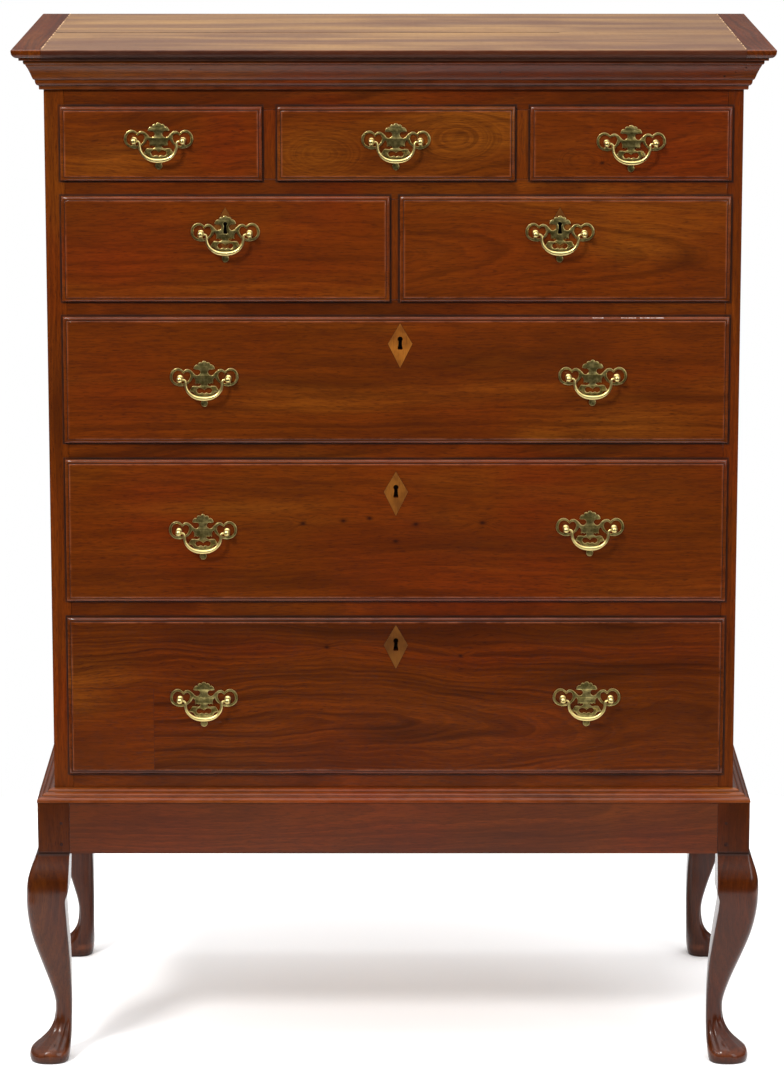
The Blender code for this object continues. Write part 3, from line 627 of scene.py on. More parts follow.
def cove_section():
    """Bead, hollow, step, small ovolo and fillet, under the top."""
    under = -(TOP_THICK + GAP) / MM
    hollow = ((24.0, -23.6), (22.6, -26.2), (20.6, -29.8), (18.8, -33.8), (17.2, -37.6), (15.8, -41.4),
              (14.4, -44.4))
    return in_metres([
        (0.3, under, 0.0, 0.0), (27.0, under, 0.0, 1.0),
        *[(*point, 0.25, 0.0) for point in quarter((27.3, -18.6), (24.6, -22.8), 5)],
        (24.2, -23.0, 0.0, 1.0), *[(*point, 0.0, 0.0) for point in hollow],
        (14.1, -45.0, 0.3, 0.0), (12.5, -46.1, 0.0, 1.0), (11.9, -46.4, 0.0, 0.7),
        *[(*point, 0.15, 0.0) for point in quarter((11.7, -46.9), (7.2, -54.8), 6)],
        (6.8, -55.2, 0.0, 1.0), (6.4, -55.8, 0.2, 0.4), (6.2, -60.2, 0.4, 0.0), (5.4, -61.0, 0.2, 0.4),
        (0.3, -61.6, 0.0, 1.0),
    ])


def waist_section():
    """Three rounded steps, up from the top of the stand."""
    first = [(*point, 0.25, 0.0) for point in quarter((25.2, 3.0), (18.8, 8.3), 6)]
    second = [(*point, 0.20, 0.0) for point in quarter((17.6, 9.4), (10.8, 13.6), 6)]
    third = [(*point, 0.15, 0.0) for point in quarter((9.4, 14.6), (2.4, 18.2), 6)]
    return in_metres([
        (0.3, 0.0, 0.0, 0.0), (24.2, 0.0, 0.0, 1.0), (25.2, 0.6, 0.3, 0.3),
        *first, (18.4, 8.7, 0.0, 0.9), (17.7, 9.0, 0.2, 0.3),
        *second, (10.3, 13.9, 0.0, 0.9), (9.5, 14.2, 0.1, 0.3), *third, (0.3, 18.5, 0.0, 1.0),
    ])


def run_of(name, section, base, corners):
    """A mesh of the section along straight lengths. A corner gives (x, y) for a distance out."""
    rings = []
    for start, end in zip(corners, corners[1:]):
        length = (Vector(end(0.0)) - Vector(start(0.0))).length
        shares = spread(0.0, 1.0, RUN_PITCH / length)
        for share in shares if start is corners[0] else shares[1:]:
            ring = []
            for out, up, *_ in section:
                point = Vector((*start(out), base + up)).lerp(Vector((*end(out), base + up)), share)
                sway = waver(point, RUN_WAVER)
                ring.append((point.x, point.y - sway * 0.6, point.z + sway * 0.4 * (abs(up) > GAP)))
            rings.append(ring)
    return loft(name, rings, [("wear_and_highlight", lambda r, p: section[p][2]), ("dirt_and_shade", lambda r, p: section[p][3])])


def along_x(x):
    """Where a run along the front ends."""
    return lambda out: (x, CASE_FRONT - out)


def case_corner(side, front):
    """Where a run turns at the case's front corner, or ends at its back."""
    return lambda out: (side * (HALF_CASE + out), CASE_FRONT - out if front else CASE_BACK)


def three_runs(name, section, base, node, front_wood, side_wood):
    """A moulding along the front and both sides, in three mitred lengths, in place of a CAD node."""
    runs = [("front", front_wood, [case_corner(-1, True), case_corner(1, True)])]
    for side, side_name in SIDES:
        runs.append((side_name, side_wood, [case_corner(side, False), case_corner(side, True)]))
    for part, wood, corners in runs:
        full_name = f"{name}_{part}"
        piece(full_name, run_of(full_name, section, base, corners), wood, stands_for=[node])


def nail_heads(name, spots, material, radius, towards=(0.0, -1.0, 0.0)):
    """Small sunk heads or pegs, each a slightly irregular disc that stands 0.1 mm proud."""
    bm = bmesh.new()
    turn = Vector(towards).to_track_quat("Z", "Y").to_matrix().to_4x4()
    for i, spot in enumerate(spots):
        size = radius * (1.0 + waver((i * 3.1, 0.7, 0.2), 0.5, 1.0))
        profile = [(size, -0.4), (size, 0.02), (size * 0.8, 0.10), (size * 0.2, 0.12)]
        add_turning(bm, profile, Matrix.Translation(spot) @ turn, 9)
    piece(name, mesh_of(bm, name), material)


def top_and_cornice():
    seam = CASE_FRONT - CORNICE_OUT + TOP_SEAM_SHARE * (CASE_BACK - CASE_FRONT + CORNICE_OUT)
    edge = edge_section((CASE_FRONT - seam + GAP) / MM)
    mesh = run_of("top_front_board", edge, HEIGHT, [along_x(-HALF_CASE), along_x(HALF_CASE)])
    piece("top_front_board", mesh, worn_top_and_sheen("top_front", 3.1, (0.3, 0.05, -0.30)), stands_for=["case_top"])
    boards("top_back_board", [((-HALF_CASE, seam + GAP, TOP_UNDER), (HALF_CASE, CASE_BACK, HEIGHT))],
           worn_top_and_sheen("top_back", 7.7, (-0.3, 0.04, 0.12)), stands_for=["case_top"], ease=0.9 * MM)
    strip_wood = walnut("top_strip", Board(5.3, "yzx", HEIGHT, (0.0, 0.05, 0.45), figure=0.5, red=0.2))
    heart = (0.2, 0.06, HEIGHT)
    three_runs(
        "cornice_cove", cove_section(), HEIGHT, "cornice_moulding",
        walnut("cove_front", Board(1.9, heart=heart, light=0.5, red=0.6, figure=0.35), tone=0.9),
        walnut("cove_side", Board(2.3, "yxz", HALF_CASE, heart, red=0.5)))
    for side, side_name in SIDES:
        corners = [case_corner(side, False), case_corner(side, True), along_x(side * (HALF_CASE + GAP))]
        name = f"top_strip_{side_name}"
        mesh = run_of(name, edge_section(1.0), HEIGHT, corners)
        piece(name, mesh, strip_wood, stands_for=["cornice_moulding"])
    low, high = HEIGHT - 0.5 * MM, HEIGHT + 0.18 * MM
    # The open joint between the top's two boards, as a flush dark strip: painted shadow.
    boards("top_joint", [((-HALF_CASE + MM, seam - 2.0 * MM, low), (TOP_JOINT_END, seam + 2.2 * MM, high))],
           mottled("top_joint", rgb(30, 16, 10), rgb(76, 48, 32), 0.6, 50.0), ease=0.05 * MM)
    lines = [((x - 1.0 * MM, CASE_FRONT - 0.6 * CORNICE_OUT, low), (x + 0.9 * MM, CASE_BACK - MM, high))
             for x in (-HALF_CASE, HALF_CASE)]
    boards("top_strip_joints", lines, mottled("strip_joint", rgb(70, 44, 30), rgb(190, 156, 120), 0.7, 70.0),
           ease=0.05 * MM)
    nails = [(x, CASE_FRONT - out * MM, HEIGHT - down * MM) for x, out, down in CORNICE_NAILS]
    holes = mottled("nail_holes", rgb(20, 10, 8), rgb(44, 22, 14), 0.6, 900.0)
    nail_heads("cornice_nails", nails, holes, 1.3)


def waist():
    heart = (0.3, 0.05, STAND_TOP)
    three_runs(
        "waist", waist_section(), STAND_TOP + GAP, "waist_moulding",
        walnut("waist_front", Board(6.1, heart=heart, light=0.9, red=0.5, figure=0.3), tone=1.15),
        walnut("waist_side", Board(6.7, "yxz", HALF_CASE, heart, red=0.6)))


# Legs. A table gives millimetres for a height in metres: outlines are out from the post's corner.

LEG_OUTER = (
    (0.0, 9.0), (0.004, 10.6), (0.010, 11.4), (0.018, 9.6), (0.022, 6.0), (0.026, 1.0), (0.034, -9.3),
    (0.042, -16.8), (0.050, -21.6), (0.058, -24.6), (0.074, -26.8), (0.082, -27.0), (0.098, -24.6),
    (0.114, -20.2), (0.130, -15.3), (0.146, -9.9), (0.1615, -4.6), (0.177, 0.6), (0.193, 5.6), (0.209, 9.9),
    (0.225, 13.2), (0.2405, 15.4), (0.256, 16.6), (0.272, 16.7), (0.288, 15.5), (0.3035, 11.8), (0.319, 6.0),
    (0.330, 2.5),
)
LEG_INNER = (
    (0.0, -46.8), (0.005, -48.4), (0.0135, -49.6), (0.034, -51.2), (0.084, -51.9), (0.1425, -51.0),
    (0.185, -48.5), (0.228, -44.6), (0.250, -42.6), (0.258, -42.3), (0.266, -44.4), (0.274, -46.6),
    (0.322, -47.2), (0.330, -47.6),
)
OUTER_ROUND = ((0.0, 25.0), (0.020, 29.0), (0.050, 15.0), (0.082, 12.4), (0.150, 14.0), (0.260, 17.0),
               (0.330, 6.0))
SIDE_ROUND = ((0.0, 22.0), (0.020, 25.0), (0.050, 13.5), (0.082, 11.0), (0.150, 9.5), (0.230, 7.0),
              (0.270, 3.0), (0.330, 1.2))
INNER_ROUND = ((0.0, 20.0), (0.020, 24.0), (0.050, 12.0), (0.082, 9.0), (0.150, 7.5), (0.230, 5.0),
               (0.270, 2.0), (0.330, 1.2))
LEG_LEAN = ((0.0, 7.5), (0.1, 7.0), (0.15, 6.0), (0.26, 2.0), (0.330, 0.0))
REAR_RIGHT_SPLAY, SPLAY_CURVE = 4.5 * MM, 1.5
TOE_GROOVES = (20.0, 72.0)
TOE_DEPTH = ((0.014, 0.0), (0.024, 1.9), (0.044, 2.47), (0.066, 1.14), (0.082, 0.0))
TOE_HALF_WIDTH = 7.5
CORNER_STEPS = 13
PEG_INSET_SHARE = 0.73


def leg_ring(outer, inner, radii):
    """A square with its own radius at the outer, side and inner corners, in distances out."""
    r_out, r_side, r_in = radii
    corners = ((outer - r_out, outer - r_out, r_out, 0), (inner + r_side, outer - r_side, r_side, 90),
               (inner + r_in, inner + r_in, r_in, 180), (outer - r_side, inner + r_side, r_side, 270))
    ring = []
    for u, v, radius, start in corners:
        ring += arc((u, v), radius, start, start + 90, CORNER_STEPS)
    return ring


def toes(ring, z):
    """The ring with its toes' grooves, which fade at the ankle and at the pad's edge."""
    depth = smooth(TOE_DEPTH, z) * MM
    middle = Vector(ring[0]).lerp(Vector(ring[2 * (CORNER_STEPS + 1)]), 0.5)
    carved = []
    for point in ring:
        arm = Vector(point) - middle
        angle = abs(math.degrees(math.atan2(arm.y, arm.x)) - 45.0)
        angle = min(angle, 360.0 - angle)
        groove = sum(math.exp(-((angle - a) / TOE_HALF_WIDTH) ** 2) for a in TOE_GROOVES)
        carved.append(middle + arm * (1.0 - depth * groove / arm.length))
    return carved


def leg(side, end):
    """A post and cabriole leg in one piece. side is -1 on the left, and end is -1 at the front."""
    corner_x, corner_y = side * HALF_STAND, STAND_FRONT if end < 0 else CASE_BACK
    end_name, side_name = "front" if end < 0 else "rear", "left" if side < 0 else "right"
    heights = [0.0, 0.8 * MM, *spread(2.5 * MM, RAIL_BOTTOM - GAP, 4.2 * MM)]
    heights += [RAIL_BOTTOM, RAIL_BOTTOM + 0.5 * MM, *spread(RAIL_BOTTOM + 4 * MM, STAND_TOP - MM, 12 * MM),
                STAND_TOP]
    rings = []
    for i, z in enumerate(heights):
        if z < RAIL_BOTTOM - GAP / 2:
            outer, inner = smooth(LEG_OUTER, z) * MM, smooth(LEG_INNER, z) * MM
            radii = [smooth(table, z) * MM for table in (OUTER_ROUND, SIDE_ROUND, INNER_ROUND)]
            shrink = 1.2 * MM if i == 0 else 0.0
            ring = toes(leg_ring(outer - shrink, inner + shrink, radii), z)
        else:
            ring = leg_ring(0.0, -POST_SIDE, [0.7 * MM, 0.5 * MM, 0.5 * MM])
        below = max(0.0, 1 - z / RAIL_BOTTOM)
        splay = REAR_RIGHT_SPLAY * below ** SPLAY_CURVE if side > 0 and end > 0 else 0.0
        shift = splay - smooth(LEG_LEAN, z) * MM
        row = []
        for u, v in ring:
            x, y = corner_x + side * u + shift, corner_y + end * v
            sway = waver((x, y, z), 0.35 * MM, 22.0) if z > MM else 0.0
            row.append((x + side * sway, y + end * sway, z))
        rings.append(row)

    def dirt_and_shade(r, p):
        """Darker near the floor, and in the line where the knee meets the post: dirt and painted shade."""
        near_floor = max(0.0, 1 - heights[r] / (9 * MM)) * 0.7
        return near_floor + (0.9 if abs(heights[r] - RAIL_BOTTOM) < MM else 0.0)

    def wear_and_highlight(r, p):
        """Rubbed and given a painted highlight at the pad's rim, and at the knee's outer corner."""
        rim = math.exp(-((heights[r] - 17 * MM) / (4 * MM)) ** 2)
        knee = math.exp(-((heights[r] - 275 * MM) / (30 * MM)) ** 2 - ((p - CORNER_STEPS / 2) / 3) ** 2)
        return 0.6 * rim + 0.4 * knee

    name = f"{end_name}_{side_name}"
    mesh = loft(f"leg_{name}_carved", rings, [("dirt_and_shade", dirt_and_shade), ("wear_and_highlight", wear_and_highlight)], sharp=50)
    heart = (0.2, 0.05, corner_x + 0.02 * side)
    wood = walnut(f"leg_{name}", Board(8.0 + 2 * side + end, "zyx", corner_y, heart, 0.05, figure=0.35,
                                       light=0.3, red=0.5), gloss=0.20, tone=0.44)
    piece(f"leg_{name}_carved", mesh, wood, stands_for=[f"leg_{name}"])


def stand():
    for side in (-1, 1):
        for end in (-1, 1):
            leg(side, end)
    dark = mottled("peg", rgb(22, 12, 10), rgb(48, 26, 20), 0.5, 600.0)
    inset = PEG_INSET_SHARE * POST_SIDE
    low, high = RAIL_BOTTOM + 14 * MM, RAIL_BOTTOM + 47 * MM
    nail_heads("post_pegs", [(side * (HALF_STAND - inset), STAND_FRONT, z) for side in (-1, 1)
                             for z in (low, high)], dark, 3.0)
    for side, side_name in SIDES:
        spots = [(side * HALF_STAND, y, z + 2 * MM) for y in (STAND_FRONT + inset, CASE_BACK - inset)
                 for z in (low, high)]
        nail_heads(f"side_pegs_{side_name}", spots, dark, 3.0, (side, 0.0, 0.0))


# Case

RAIL_DEPTH = 55 * MM
DUST_THICK = 10 * MM
LIP_SIDE, LIP_TOP, LIP_BOTTOM = 6 * MM, 5 * MM, 2 * MM
FRONTS = {name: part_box(f"drawer_front_{name}") for name in DRAWERS}
DUST_TOPS = {rail: FRONTS[row][0].z + LIP_BOTTOM for rail, row in (
    ("rail_4", "fourth"), ("rail_3", "third"), ("rail_2", "second_left"), ("rail_1", "top_left"))}
RAIL_FEET = {rail: FRONTS[row][1].z - LIP_TOP for rail, row in (
    ("rail_4", "bottom"), ("rail_3", "fourth"), ("rail_2", "third"), ("rail_1", "second_left"))}
RAIL_LOOKS = {
    "rail_1": Board(0.9, heart=(0.3, 0.06, 1.33), light=0.35, red=0.7),
    "rail_2": Board(1.7, heart=(-0.2, 0.06, 1.15), light=0.3, red=0.5, figure=0.45),
    "rail_3": Board(2.6, heart=(0.5, 0.06, 0.95), light=0.3, red=0.6, figure=0.5),
    "rail_4": Board(3.8, heart=(0.1, 0.06, 0.71), light=0.3, red=0.8),
}


def bevelled(node, material, width=0.5 * MM):
    """A CAD node that stays, with its own wood and eased edges."""
    obj = frame["nodes"][node]
    obj.data.materials.clear()
    obj.data.materials.append(material)
    ease = obj.modifiers.new("eased edges", "BEVEL")
    ease.width = width
    ease.segments = 2
    ease.harden_normals = True


def rail_and_dustboard(name, wood, rough, dividers=()):
    """A front rail, its dustboard behind it and a guide behind each divider, for the one CAD node."""
    low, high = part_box(name)
    floor, behind = DUST_TOPS[name], CASE_FRONT + RAIL_DEPTH
    boards(f"{name}_front", [((low.x, CASE_FRONT, RAIL_FEET[name]), (high.x, behind, floor))], wood,
           stands_for=[name])
    back = high.y - GAP
    width = (high.x - low.x - 2 * GAP) / 3
    lefts = [low.x + GAP + i * width for i in range(3)]
    planks = [((left, behind + GAP, floor - DUST_THICK), (left + width - 0.8 * MM, back, floor))
              for left in lefts]
    boards(f"{name}_dustboard", planks, rough, "case", [name])
    guides = [((left, behind + 2 * GAP, floor + GAP / 3), (right, back - 30 * MM, floor + 17 * MM))
              for left, right in dividers]
    if guides:
        boards(f"{name}_guides", guides, rough, "case", [name])


def between(left, right):
    """(low x, high x) of the divider between two drawers of a row."""
    return FRONTS[left][1].x - LIP_SIDE, FRONTS[right][0].x + LIP_SIDE


def case():
    for side, side_name in SIDES:
        node = f"case_side_{side_name}"
        bevelled(node, walnut(f"side_{side_name}", Board(
            4.0 + side, "zxy", side * HALF_CASE, (0.8, 0.09, 0.05), 0.015, 0.011, 0.012, figure=0.35,
            red=0.6)), 0.8 * MM)
        mesh = frame["nodes"][node].data
        mesh.materials.append(walnut(f"stile_{side_name}", Board(
            2.2 + side, "zyx", CASE_FRONT, (0.3, 0.07, side * 0.42), 0.01, 0.006, 0.004, figure=0.35,
            light=0.25, red=0.5, dark=0.7), framing=True))
        for face in mesh.polygons:
            face.material_index = 1 if face.normal.y < -0.9 else 0
    rough = raw_wood("dustboard", 0.4, "xzy")
    dividers = [between("top_left", "top_middle"), between("top_middle", "top_right")]
    second = between("second_left", "second_right")
    guided = {"rail_1": dividers, "rail_2": [second]}
    for name, look in RAIL_LOOKS.items():
        rail_and_dustboard(name, walnut(name, look, framing=True), rough, guided.get(name, ()))
    bevelled("bottom_rail", walnut("bottom_rail", Board(
        5.5, heart=(0.0, 0.06, 0.44), light=0.15, red=0.3, dark=0.9), framing=True))
    upright = walnut("dividers", Board(6.6, "zyx", heart=(0.3, 0.06, 0.0), light=0.3, red=0.7, figure=0.35),
                     framing=True)
    low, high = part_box("top_rail")
    ceiling, behind = FRONTS["top_left"][1].z - LIP_TOP, CASE_FRONT + 22 * MM
    boards("top_rail_front", [((low.x, CASE_FRONT, ceiling), (high.x, behind, high.z))],
           walnut("top_rail", Board(7.3, heart=(0.2, 0.05, 1.48), light=0.5, red=0.6), framing=True),
           stands_for=["top_rail"])
    tall = [((left, CASE_FRONT - 0.15 * MM, low.z), (right, behind, ceiling - GAP))
            for left, right in dividers]
    boards("top_row_dividers", tall, upright, stands_for=["top_rail"])
    boards("second_row_divider", [((second[0], CASE_FRONT - 0.15 * MM, DUST_TOPS["rail_2"] + GAP),
                                   (second[1], CASE_FRONT + RAIL_DEPTH, RAIL_FEET["rail_1"] - GAP))],
           upright, stands_for=["rail_1"])
    bevelled("case_bottom", raw_wood("case_bottom", 2.9, "xzy"))
    back_planks()


def back_planks():
    """The back of four planks with chamfered edges, nailed to the sides."""
    low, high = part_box("case_back")
    count, gap, back = 4, 1.2 * MM, high.y - 0.2 * MM
    tall = (high.z - low.z) / count
    planks, nails = [], []
    for i in range(count):
        foot = low.z + i * tall + (gap / 2 if i else 0.0)
        head = low.z + (i + 1) * tall - (gap / 2 if i < count - 1 else 0.0)
        planks.append(((low.x, low.y, foot), (high.x, back, head)))
        for x in (low.x + 9 * MM, high.x - 9 * MM):
            nails += [(x + waver((x, i, 0.3), 4 * MM, 1.0), back, foot + share * tall)
                      for share in (0.15, 0.5, 0.82)]
    rough = raw_wood("back_planks", 1.3, "xyz", CASE_BACK, rgb(150, 112, 70), rgb(102, 70, 42))
    boards("back_planks", planks, rough, "case", ["case_back"], 1.2 * MM)
    iron = mottled("iron", rgb(40, 36, 34), rgb(84, 62, 48), 0.6, 700.0, 0.7)
    nail_heads("back_nails", nails, iron, 3.2, (0.0, 1.0, 0.0))


def stand_rails():
    heart, gloss, tone = (0.2, 0.06, 0.40), 0.34, 0.72
    looks = {
        "front": walnut("stand_front", Board(4.4, heart=heart, light=0.15), gloss, tone),
        "left": walnut("stand_left", Board(5.1, "yxz", -HALF_STAND, heart, red=0.5), gloss, tone),
        "right": walnut("stand_right", Board(5.9, "yxz", HALF_STAND, heart, red=0.5), gloss, tone),
        "back": raw_wood("stand_back", 2.2, "xyz", CASE_BACK),
    }
    for name, material in looks.items():
        bevelled(f"stand_rail_{name}", material, 0.7 * MM)
    inset, deep, half = 22 * MM + GAP, 18 * MM, 25 * MM
    blocks = [((side * x - half, y, STAND_TOP - 26 * MM), (side * x + half, y + deep, STAND_TOP - MM))
              for side in (-1, 1) for y in (STAND_FRONT + inset, CASE_BACK - inset - deep)
              for x in (0.12, 0.34)]
    boards("stand_glue_blocks", blocks, raw_wood("glue_block", 3.3, "xyz"), "case", ease=3.0 * MM)


# Drawers

FRONT_PITCH = 12 * MM
BOX_THICK = 11 * MM
THUMBNAIL_START, THUMBNAIL_TOP = 3.5, 7.3


def lip_steps():
    """(inset, out from the case front, wear and painted highlight, dirt and painted shade) from the back of
    the lip to the field.
    """
    start, top, face = THUMBNAIL_START, THUMBNAIL_TOP, FACE_OUT / MM
    steps = [(0.2, 0.5, 0.0, 0.8), (0.0, 0.8, 0.0, 0.5), (0.0, start - 0.6, 0.1, 0.0)]
    for i in range(9):
        a = math.pi / 2 * i / 8
        inset, out = 4.9 * (1 - math.cos(a)), start + (top - start) * math.sin(a)
        steps.append((inset, out, 0.5 * math.exp(-((i - 3) / 1.6) ** 2), 0.0))
    return in_metres(steps + [
        (5.1, top - 0.1, 0.0, 1.0), (5.8, top, 0.0, 1.0), (5.9, face - 0.25, 0.4, 0.2),
        (6.2, face, 1.0, 0.0), (7.2, face, 0.5, 0.0), (9.0, face, 0.0, 0.0),
    ])


def rectangle(low, high, side, top, bottom):
    """Points round the XZ rectangle between two corners, inset from its sides, top and bottom."""
    columns = spread(0.0, 1.0, FRONT_PITCH / (high.x - low.x))
    rows = spread(0.0, 1.0, FRONT_PITCH / (high.z - low.z))
    left, right, foot, head = low.x + side, high.x - side, low.z + bottom, high.z - top
    across = lambda share: left + (right - left) * share
    up = lambda share: foot + (head - foot) * share
    return ([(across(s), foot) for s in columns[:-1]] + [(right, up(s)) for s in rows[:-1]]
            + [(across(1 - s), head) for s in columns[:-1]] + [(left, up(1 - s)) for s in rows[:-1]])


def drawer_front(name, board, tone):
    """A front with its lipped edge, its rebate behind the lip, and its keyhole cut through."""
    low, high = FRONTS[name]
    rebate = rectangle(low, high, LIP_SIDE + MM, LIP_TOP + MM, LIP_BOTTOM + MM)
    rings = [[(x, CASE_FRONT + back, z) for x, z in rebate] for back in (14.5 * MM, -0.5 * MM)]
    marks = [(0.0, 0.0), (0.0, 0.6)]
    for inset, out, *mark in lip_steps():
        rounding = min(1.0, inset / MM) if inset < 7 * MM else 0.0
        ring = []
        for x, z in rectangle(low, high, inset, inset, inset):
            rub = max(0.0, waver((x, z, out * 40), 0.45 * MM, 16.0)) * rounding
            ring.append((x, CASE_FRONT - out + rub, z))
        rings.append(ring)
        marks.append(mark)
    mesh = loft(f"front_{name}", rings,
                [("wear_and_highlight", lambda r, p: marks[r][0]), ("dirt_and_shade", lambda r, p: marks[r][1])], BROAD_EDGE)
    if name in KEYS:
        cutter = flat_shape("keyhole", [keyhole(*KEYS[name], 0.0)], 40 * MM)
        cutter.transform(Matrix.Translation((0.0, CASE_FRONT, 0.0)))
        mesh = cut_out(mesh, cutter, f"front_{name}")
    piece(f"drawer_{name}_face", mesh, walnut(f"drawer_{name}", board, tone=tone), f"drawer_{name}",
          [f"drawer_front_{name}"])


def drawer_box(name, side_wood, bottom_wood):
    """Two sides with dovetails, a back and a bottom, in place of the one CAD node."""
    body, node = f"drawer_{name}", [f"drawer_box_{name}"]
    low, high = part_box(f"drawer_box_{name}")
    left, right, inner_back = low.x + BOX_THICK, high.x - BOX_THICK, high.y - BOX_THICK
    boards(f"drawer_{name}_sides_and_back", [
        ((low.x, low.y, low.z), (left, high.y, high.z)),
        ((right, low.y, low.z), (high.x, high.y, high.z)),
        ((left + GAP / 2, inner_back, low.z + 18 * MM),
         (right - GAP / 2, high.y - 0.5 * MM, high.z - 3 * MM)),
    ], side_wood, body, node, 0.8 * MM)
    boards(f"drawer_{name}_bottom", [
        ((left + GAP, low.y + MM, low.z + 10 * MM), (right - GAP, high.y - GAP, low.z + 17.6 * MM)),
    ], bottom_wood, body, node)
    dovetails(name, low, high, side_wood)


def dovetails(name, low, high, material):
    """The sides' tails let into the ends of the front: thin wedges that show on its edges."""
    count = max(2, round((high.z - low.z) / (38 * MM)))
    pitch = (high.z - low.z) / count
    tip, root = low.y - BOX_THICK, low.y + 0.2 * MM
    bm = bmesh.new()
    for x, out in ((low.x, -1), (high.x, 1)):
        for i in range(count):
            middle = low.z + (i + 0.5) * pitch
            narrow, wide = pitch * 0.30, pitch * 0.42
            outline = ((tip, middle - wide), (root, middle - narrow), (root, middle + narrow),
                       (tip, middle + wide))
            skin(bm, [[bm.verts.new((x + out * away, y, z)) for y, z in outline]
                      for away in (-0.5 * MM, 0.12 * MM)])
    piece(f"drawer_{name}_dovetails", mesh_of(bm, name), material, f"drawer_{name}",
          [f"drawer_box_{name}"])


# Escutcheons and keyholes

KITE_HEIGHT, KITE_WIDTH, KITE_SHOULDER = 67 * MM, 36 * MM, 0.46
KITE_END_GROWTH, KITE_SIDE_GROWTH = 2.1, 1.2
EYE_BELOW_TIP = 24 * MM
EYE_TO_PIVOT = 13.5 * MM
EYE, SLOT_FOOT, KEY_DROP = 3.8 * MM, 7.6 * MM, 15.4 * MM
PLATE_KEY_NARROWER = 0.8 * MM
KITES = {"third": (9.5 * MM, 8.8 * MM), "fourth": (3.3 * MM, 17.2 * MM), "bottom": (3.3 * MM, 10.5 * MM)}
INLAY_TONES = {"third": 1.05, "fourth": 0.88, "bottom": 0.72}
KEYS = {name: (x, FRONTS[name][1].z - below - EYE_BELOW_TIP) for name, (x, below) in KITES.items()}
for second in ("second_left", "second_right"):
    KEYS[second] = (HINGES[second].x, HINGES[second].z + EYE_TO_PIVOT)


def keyhole(x, eye, grow):
    """A round eye over a slot that widens downwards, as an outline that can be grown."""
    circle = [(x + px, eye + pz) for px, pz in arc((0.0, 0.0), EYE + grow, -45, 225, 8)]
    foot, half = eye - KEY_DROP - grow, SLOT_FOOT / 2 + grow
    return [*circle, (x - half, foot + MM, 0), (x - half + MM, foot, 0), (x + half - MM, foot, 0),
            (x + half, foot + MM, 0)]


def kite_outline(x, eye, grow):
    tip = eye + EYE_BELOW_TIP + grow * KITE_END_GROWTH
    tall = KITE_HEIGHT + 2 * grow * KITE_END_GROWTH
    middle, half = tip - tall * KITE_SHOULDER, KITE_WIDTH / 2 + grow * KITE_SIDE_GROWTH
    return [(x, tip, 0), (x - half, middle, 0), (x, tip - tall, 0), (x + half, middle, 0)]


def escutcheons():
    glue = mottled("glue_line", rgb(34, 14, 8), rgb(58, 26, 14), 0.5, 900.0)
    steel = mottled("steel", rgb(66, 60, 54), rgb(34, 28, 24), 0.5, 500.0, 0.9)
    back = Matrix.Rotation(math.pi / 2, 4, "X")
    for name, (x, eye) in KEYS.items():
        body = f"drawer_{name}"
        inlay = inlay_wood(f"inlay_{name}", INLAY_TONES.get(name, 0.85))
        for label, grow, proud, material in (("outline", 0.45 * MM, 0.06 * MM, glue),
                                             ("inlay", 0.0, 0.14 * MM, inlay)):
            half_thick = proud / 2 + 0.1 * MM
            outlines = [kite_outline(x, eye, grow), keyhole(x, eye, 0.05 * MM)]
            mesh = flat_shape(f"{name}_{label}", outlines, half_thick)
            mesh.transform(Matrix.Translation((0.0, FACE - proud + half_thick, 0.0)))
            piece(f"drawer_{name}_kite_{label}", mesh, material, body)
        bm = bmesh.new()
        at = Vector((x, CASE_FRONT, eye))
        add_turning(bm, [(1.0, 0.0), (1.0, 14.0), (0.6, 15.0)],
                    Matrix.Translation(at + Vector((0.0, 12.0, -0.3)) * MM) @ back, 12)
        add_block(bm, at + Vector((-30.0, 14.8, -26.0)) * MM, at + Vector((30.0, 24.0, 18.0)) * MM, MM)
        piece(f"drawer_{name}_lock", mesh_of(bm, "lock"), steel, body)


# Pulls, about the middle of the line through their two posts, in millimetres

POST = 35.75
PLATE_THICK, PLATE_EASE = 1.9 * MM, 0.85 * MM
PIVOT_OUT = CASE_FRONT - HINGES["third_left"].y
BALL, BOSS, SHANK = 4.8, 4.6, 2.3


def plate_outline():
    """Five-lobed crown, waist notches, ears round the posts, scrolls and a drop, as its +X half."""
    notch = arc((9.8, 8.9), 4.3, 72, 236, 6)
    return mirrored([
        (0, 25.7), (2.4, 24.9), (3.8, 22.8, 0),
        (5.0, 23.7), (6.9, 23.4), (8.6, 21.9), (9.1, 19.5, 0),
        (10.8, 20.0), (12.9, 19.2), (14.6, 17.2), (15.9, 13.6, 0),
        *notch,
        (10.0, 4.0), (13.2, 5.0), (16.2, 8.3), (19.4, 11.2),
        (22.2, 12.9), (25.4, 13.4), (28.4, 12.3), (30.6, 10.2, 0),
        (34.0, 13.3), (39.0, 15.0), (44.6, 13.2), (48.8, 8.6), (50.6, 2.4), (49.6, -3.4), (46.0, -8.2),
        (40.6, -11.2), (34.4, -12.2), (28.4, -10.9), (22.6, -7.2), (18.6, -3.0), (16.2, 1.4, 0),
        (14.0, -0.8), (13.0, -4.6), (13.4, -8.6, 0),
        (10.4, -7.4), (8.0, -8.6), (6.6, -7.4), (4.5, -9.9, 0),
        (8.4, -12.3), (13.0, -11.8), (17.6, -12.5), (19.4, -15.4), (22.8, -20.4, 0),
        (19.0, -20.2), (15.6, -22.0), (12.8, -26.0), (8.8, -28.9), (4.8, -30.6, 0),
        (4.2, -34.2), (5.2, -37.6), (3.4, -41.6), (0, -43.0),
    ])


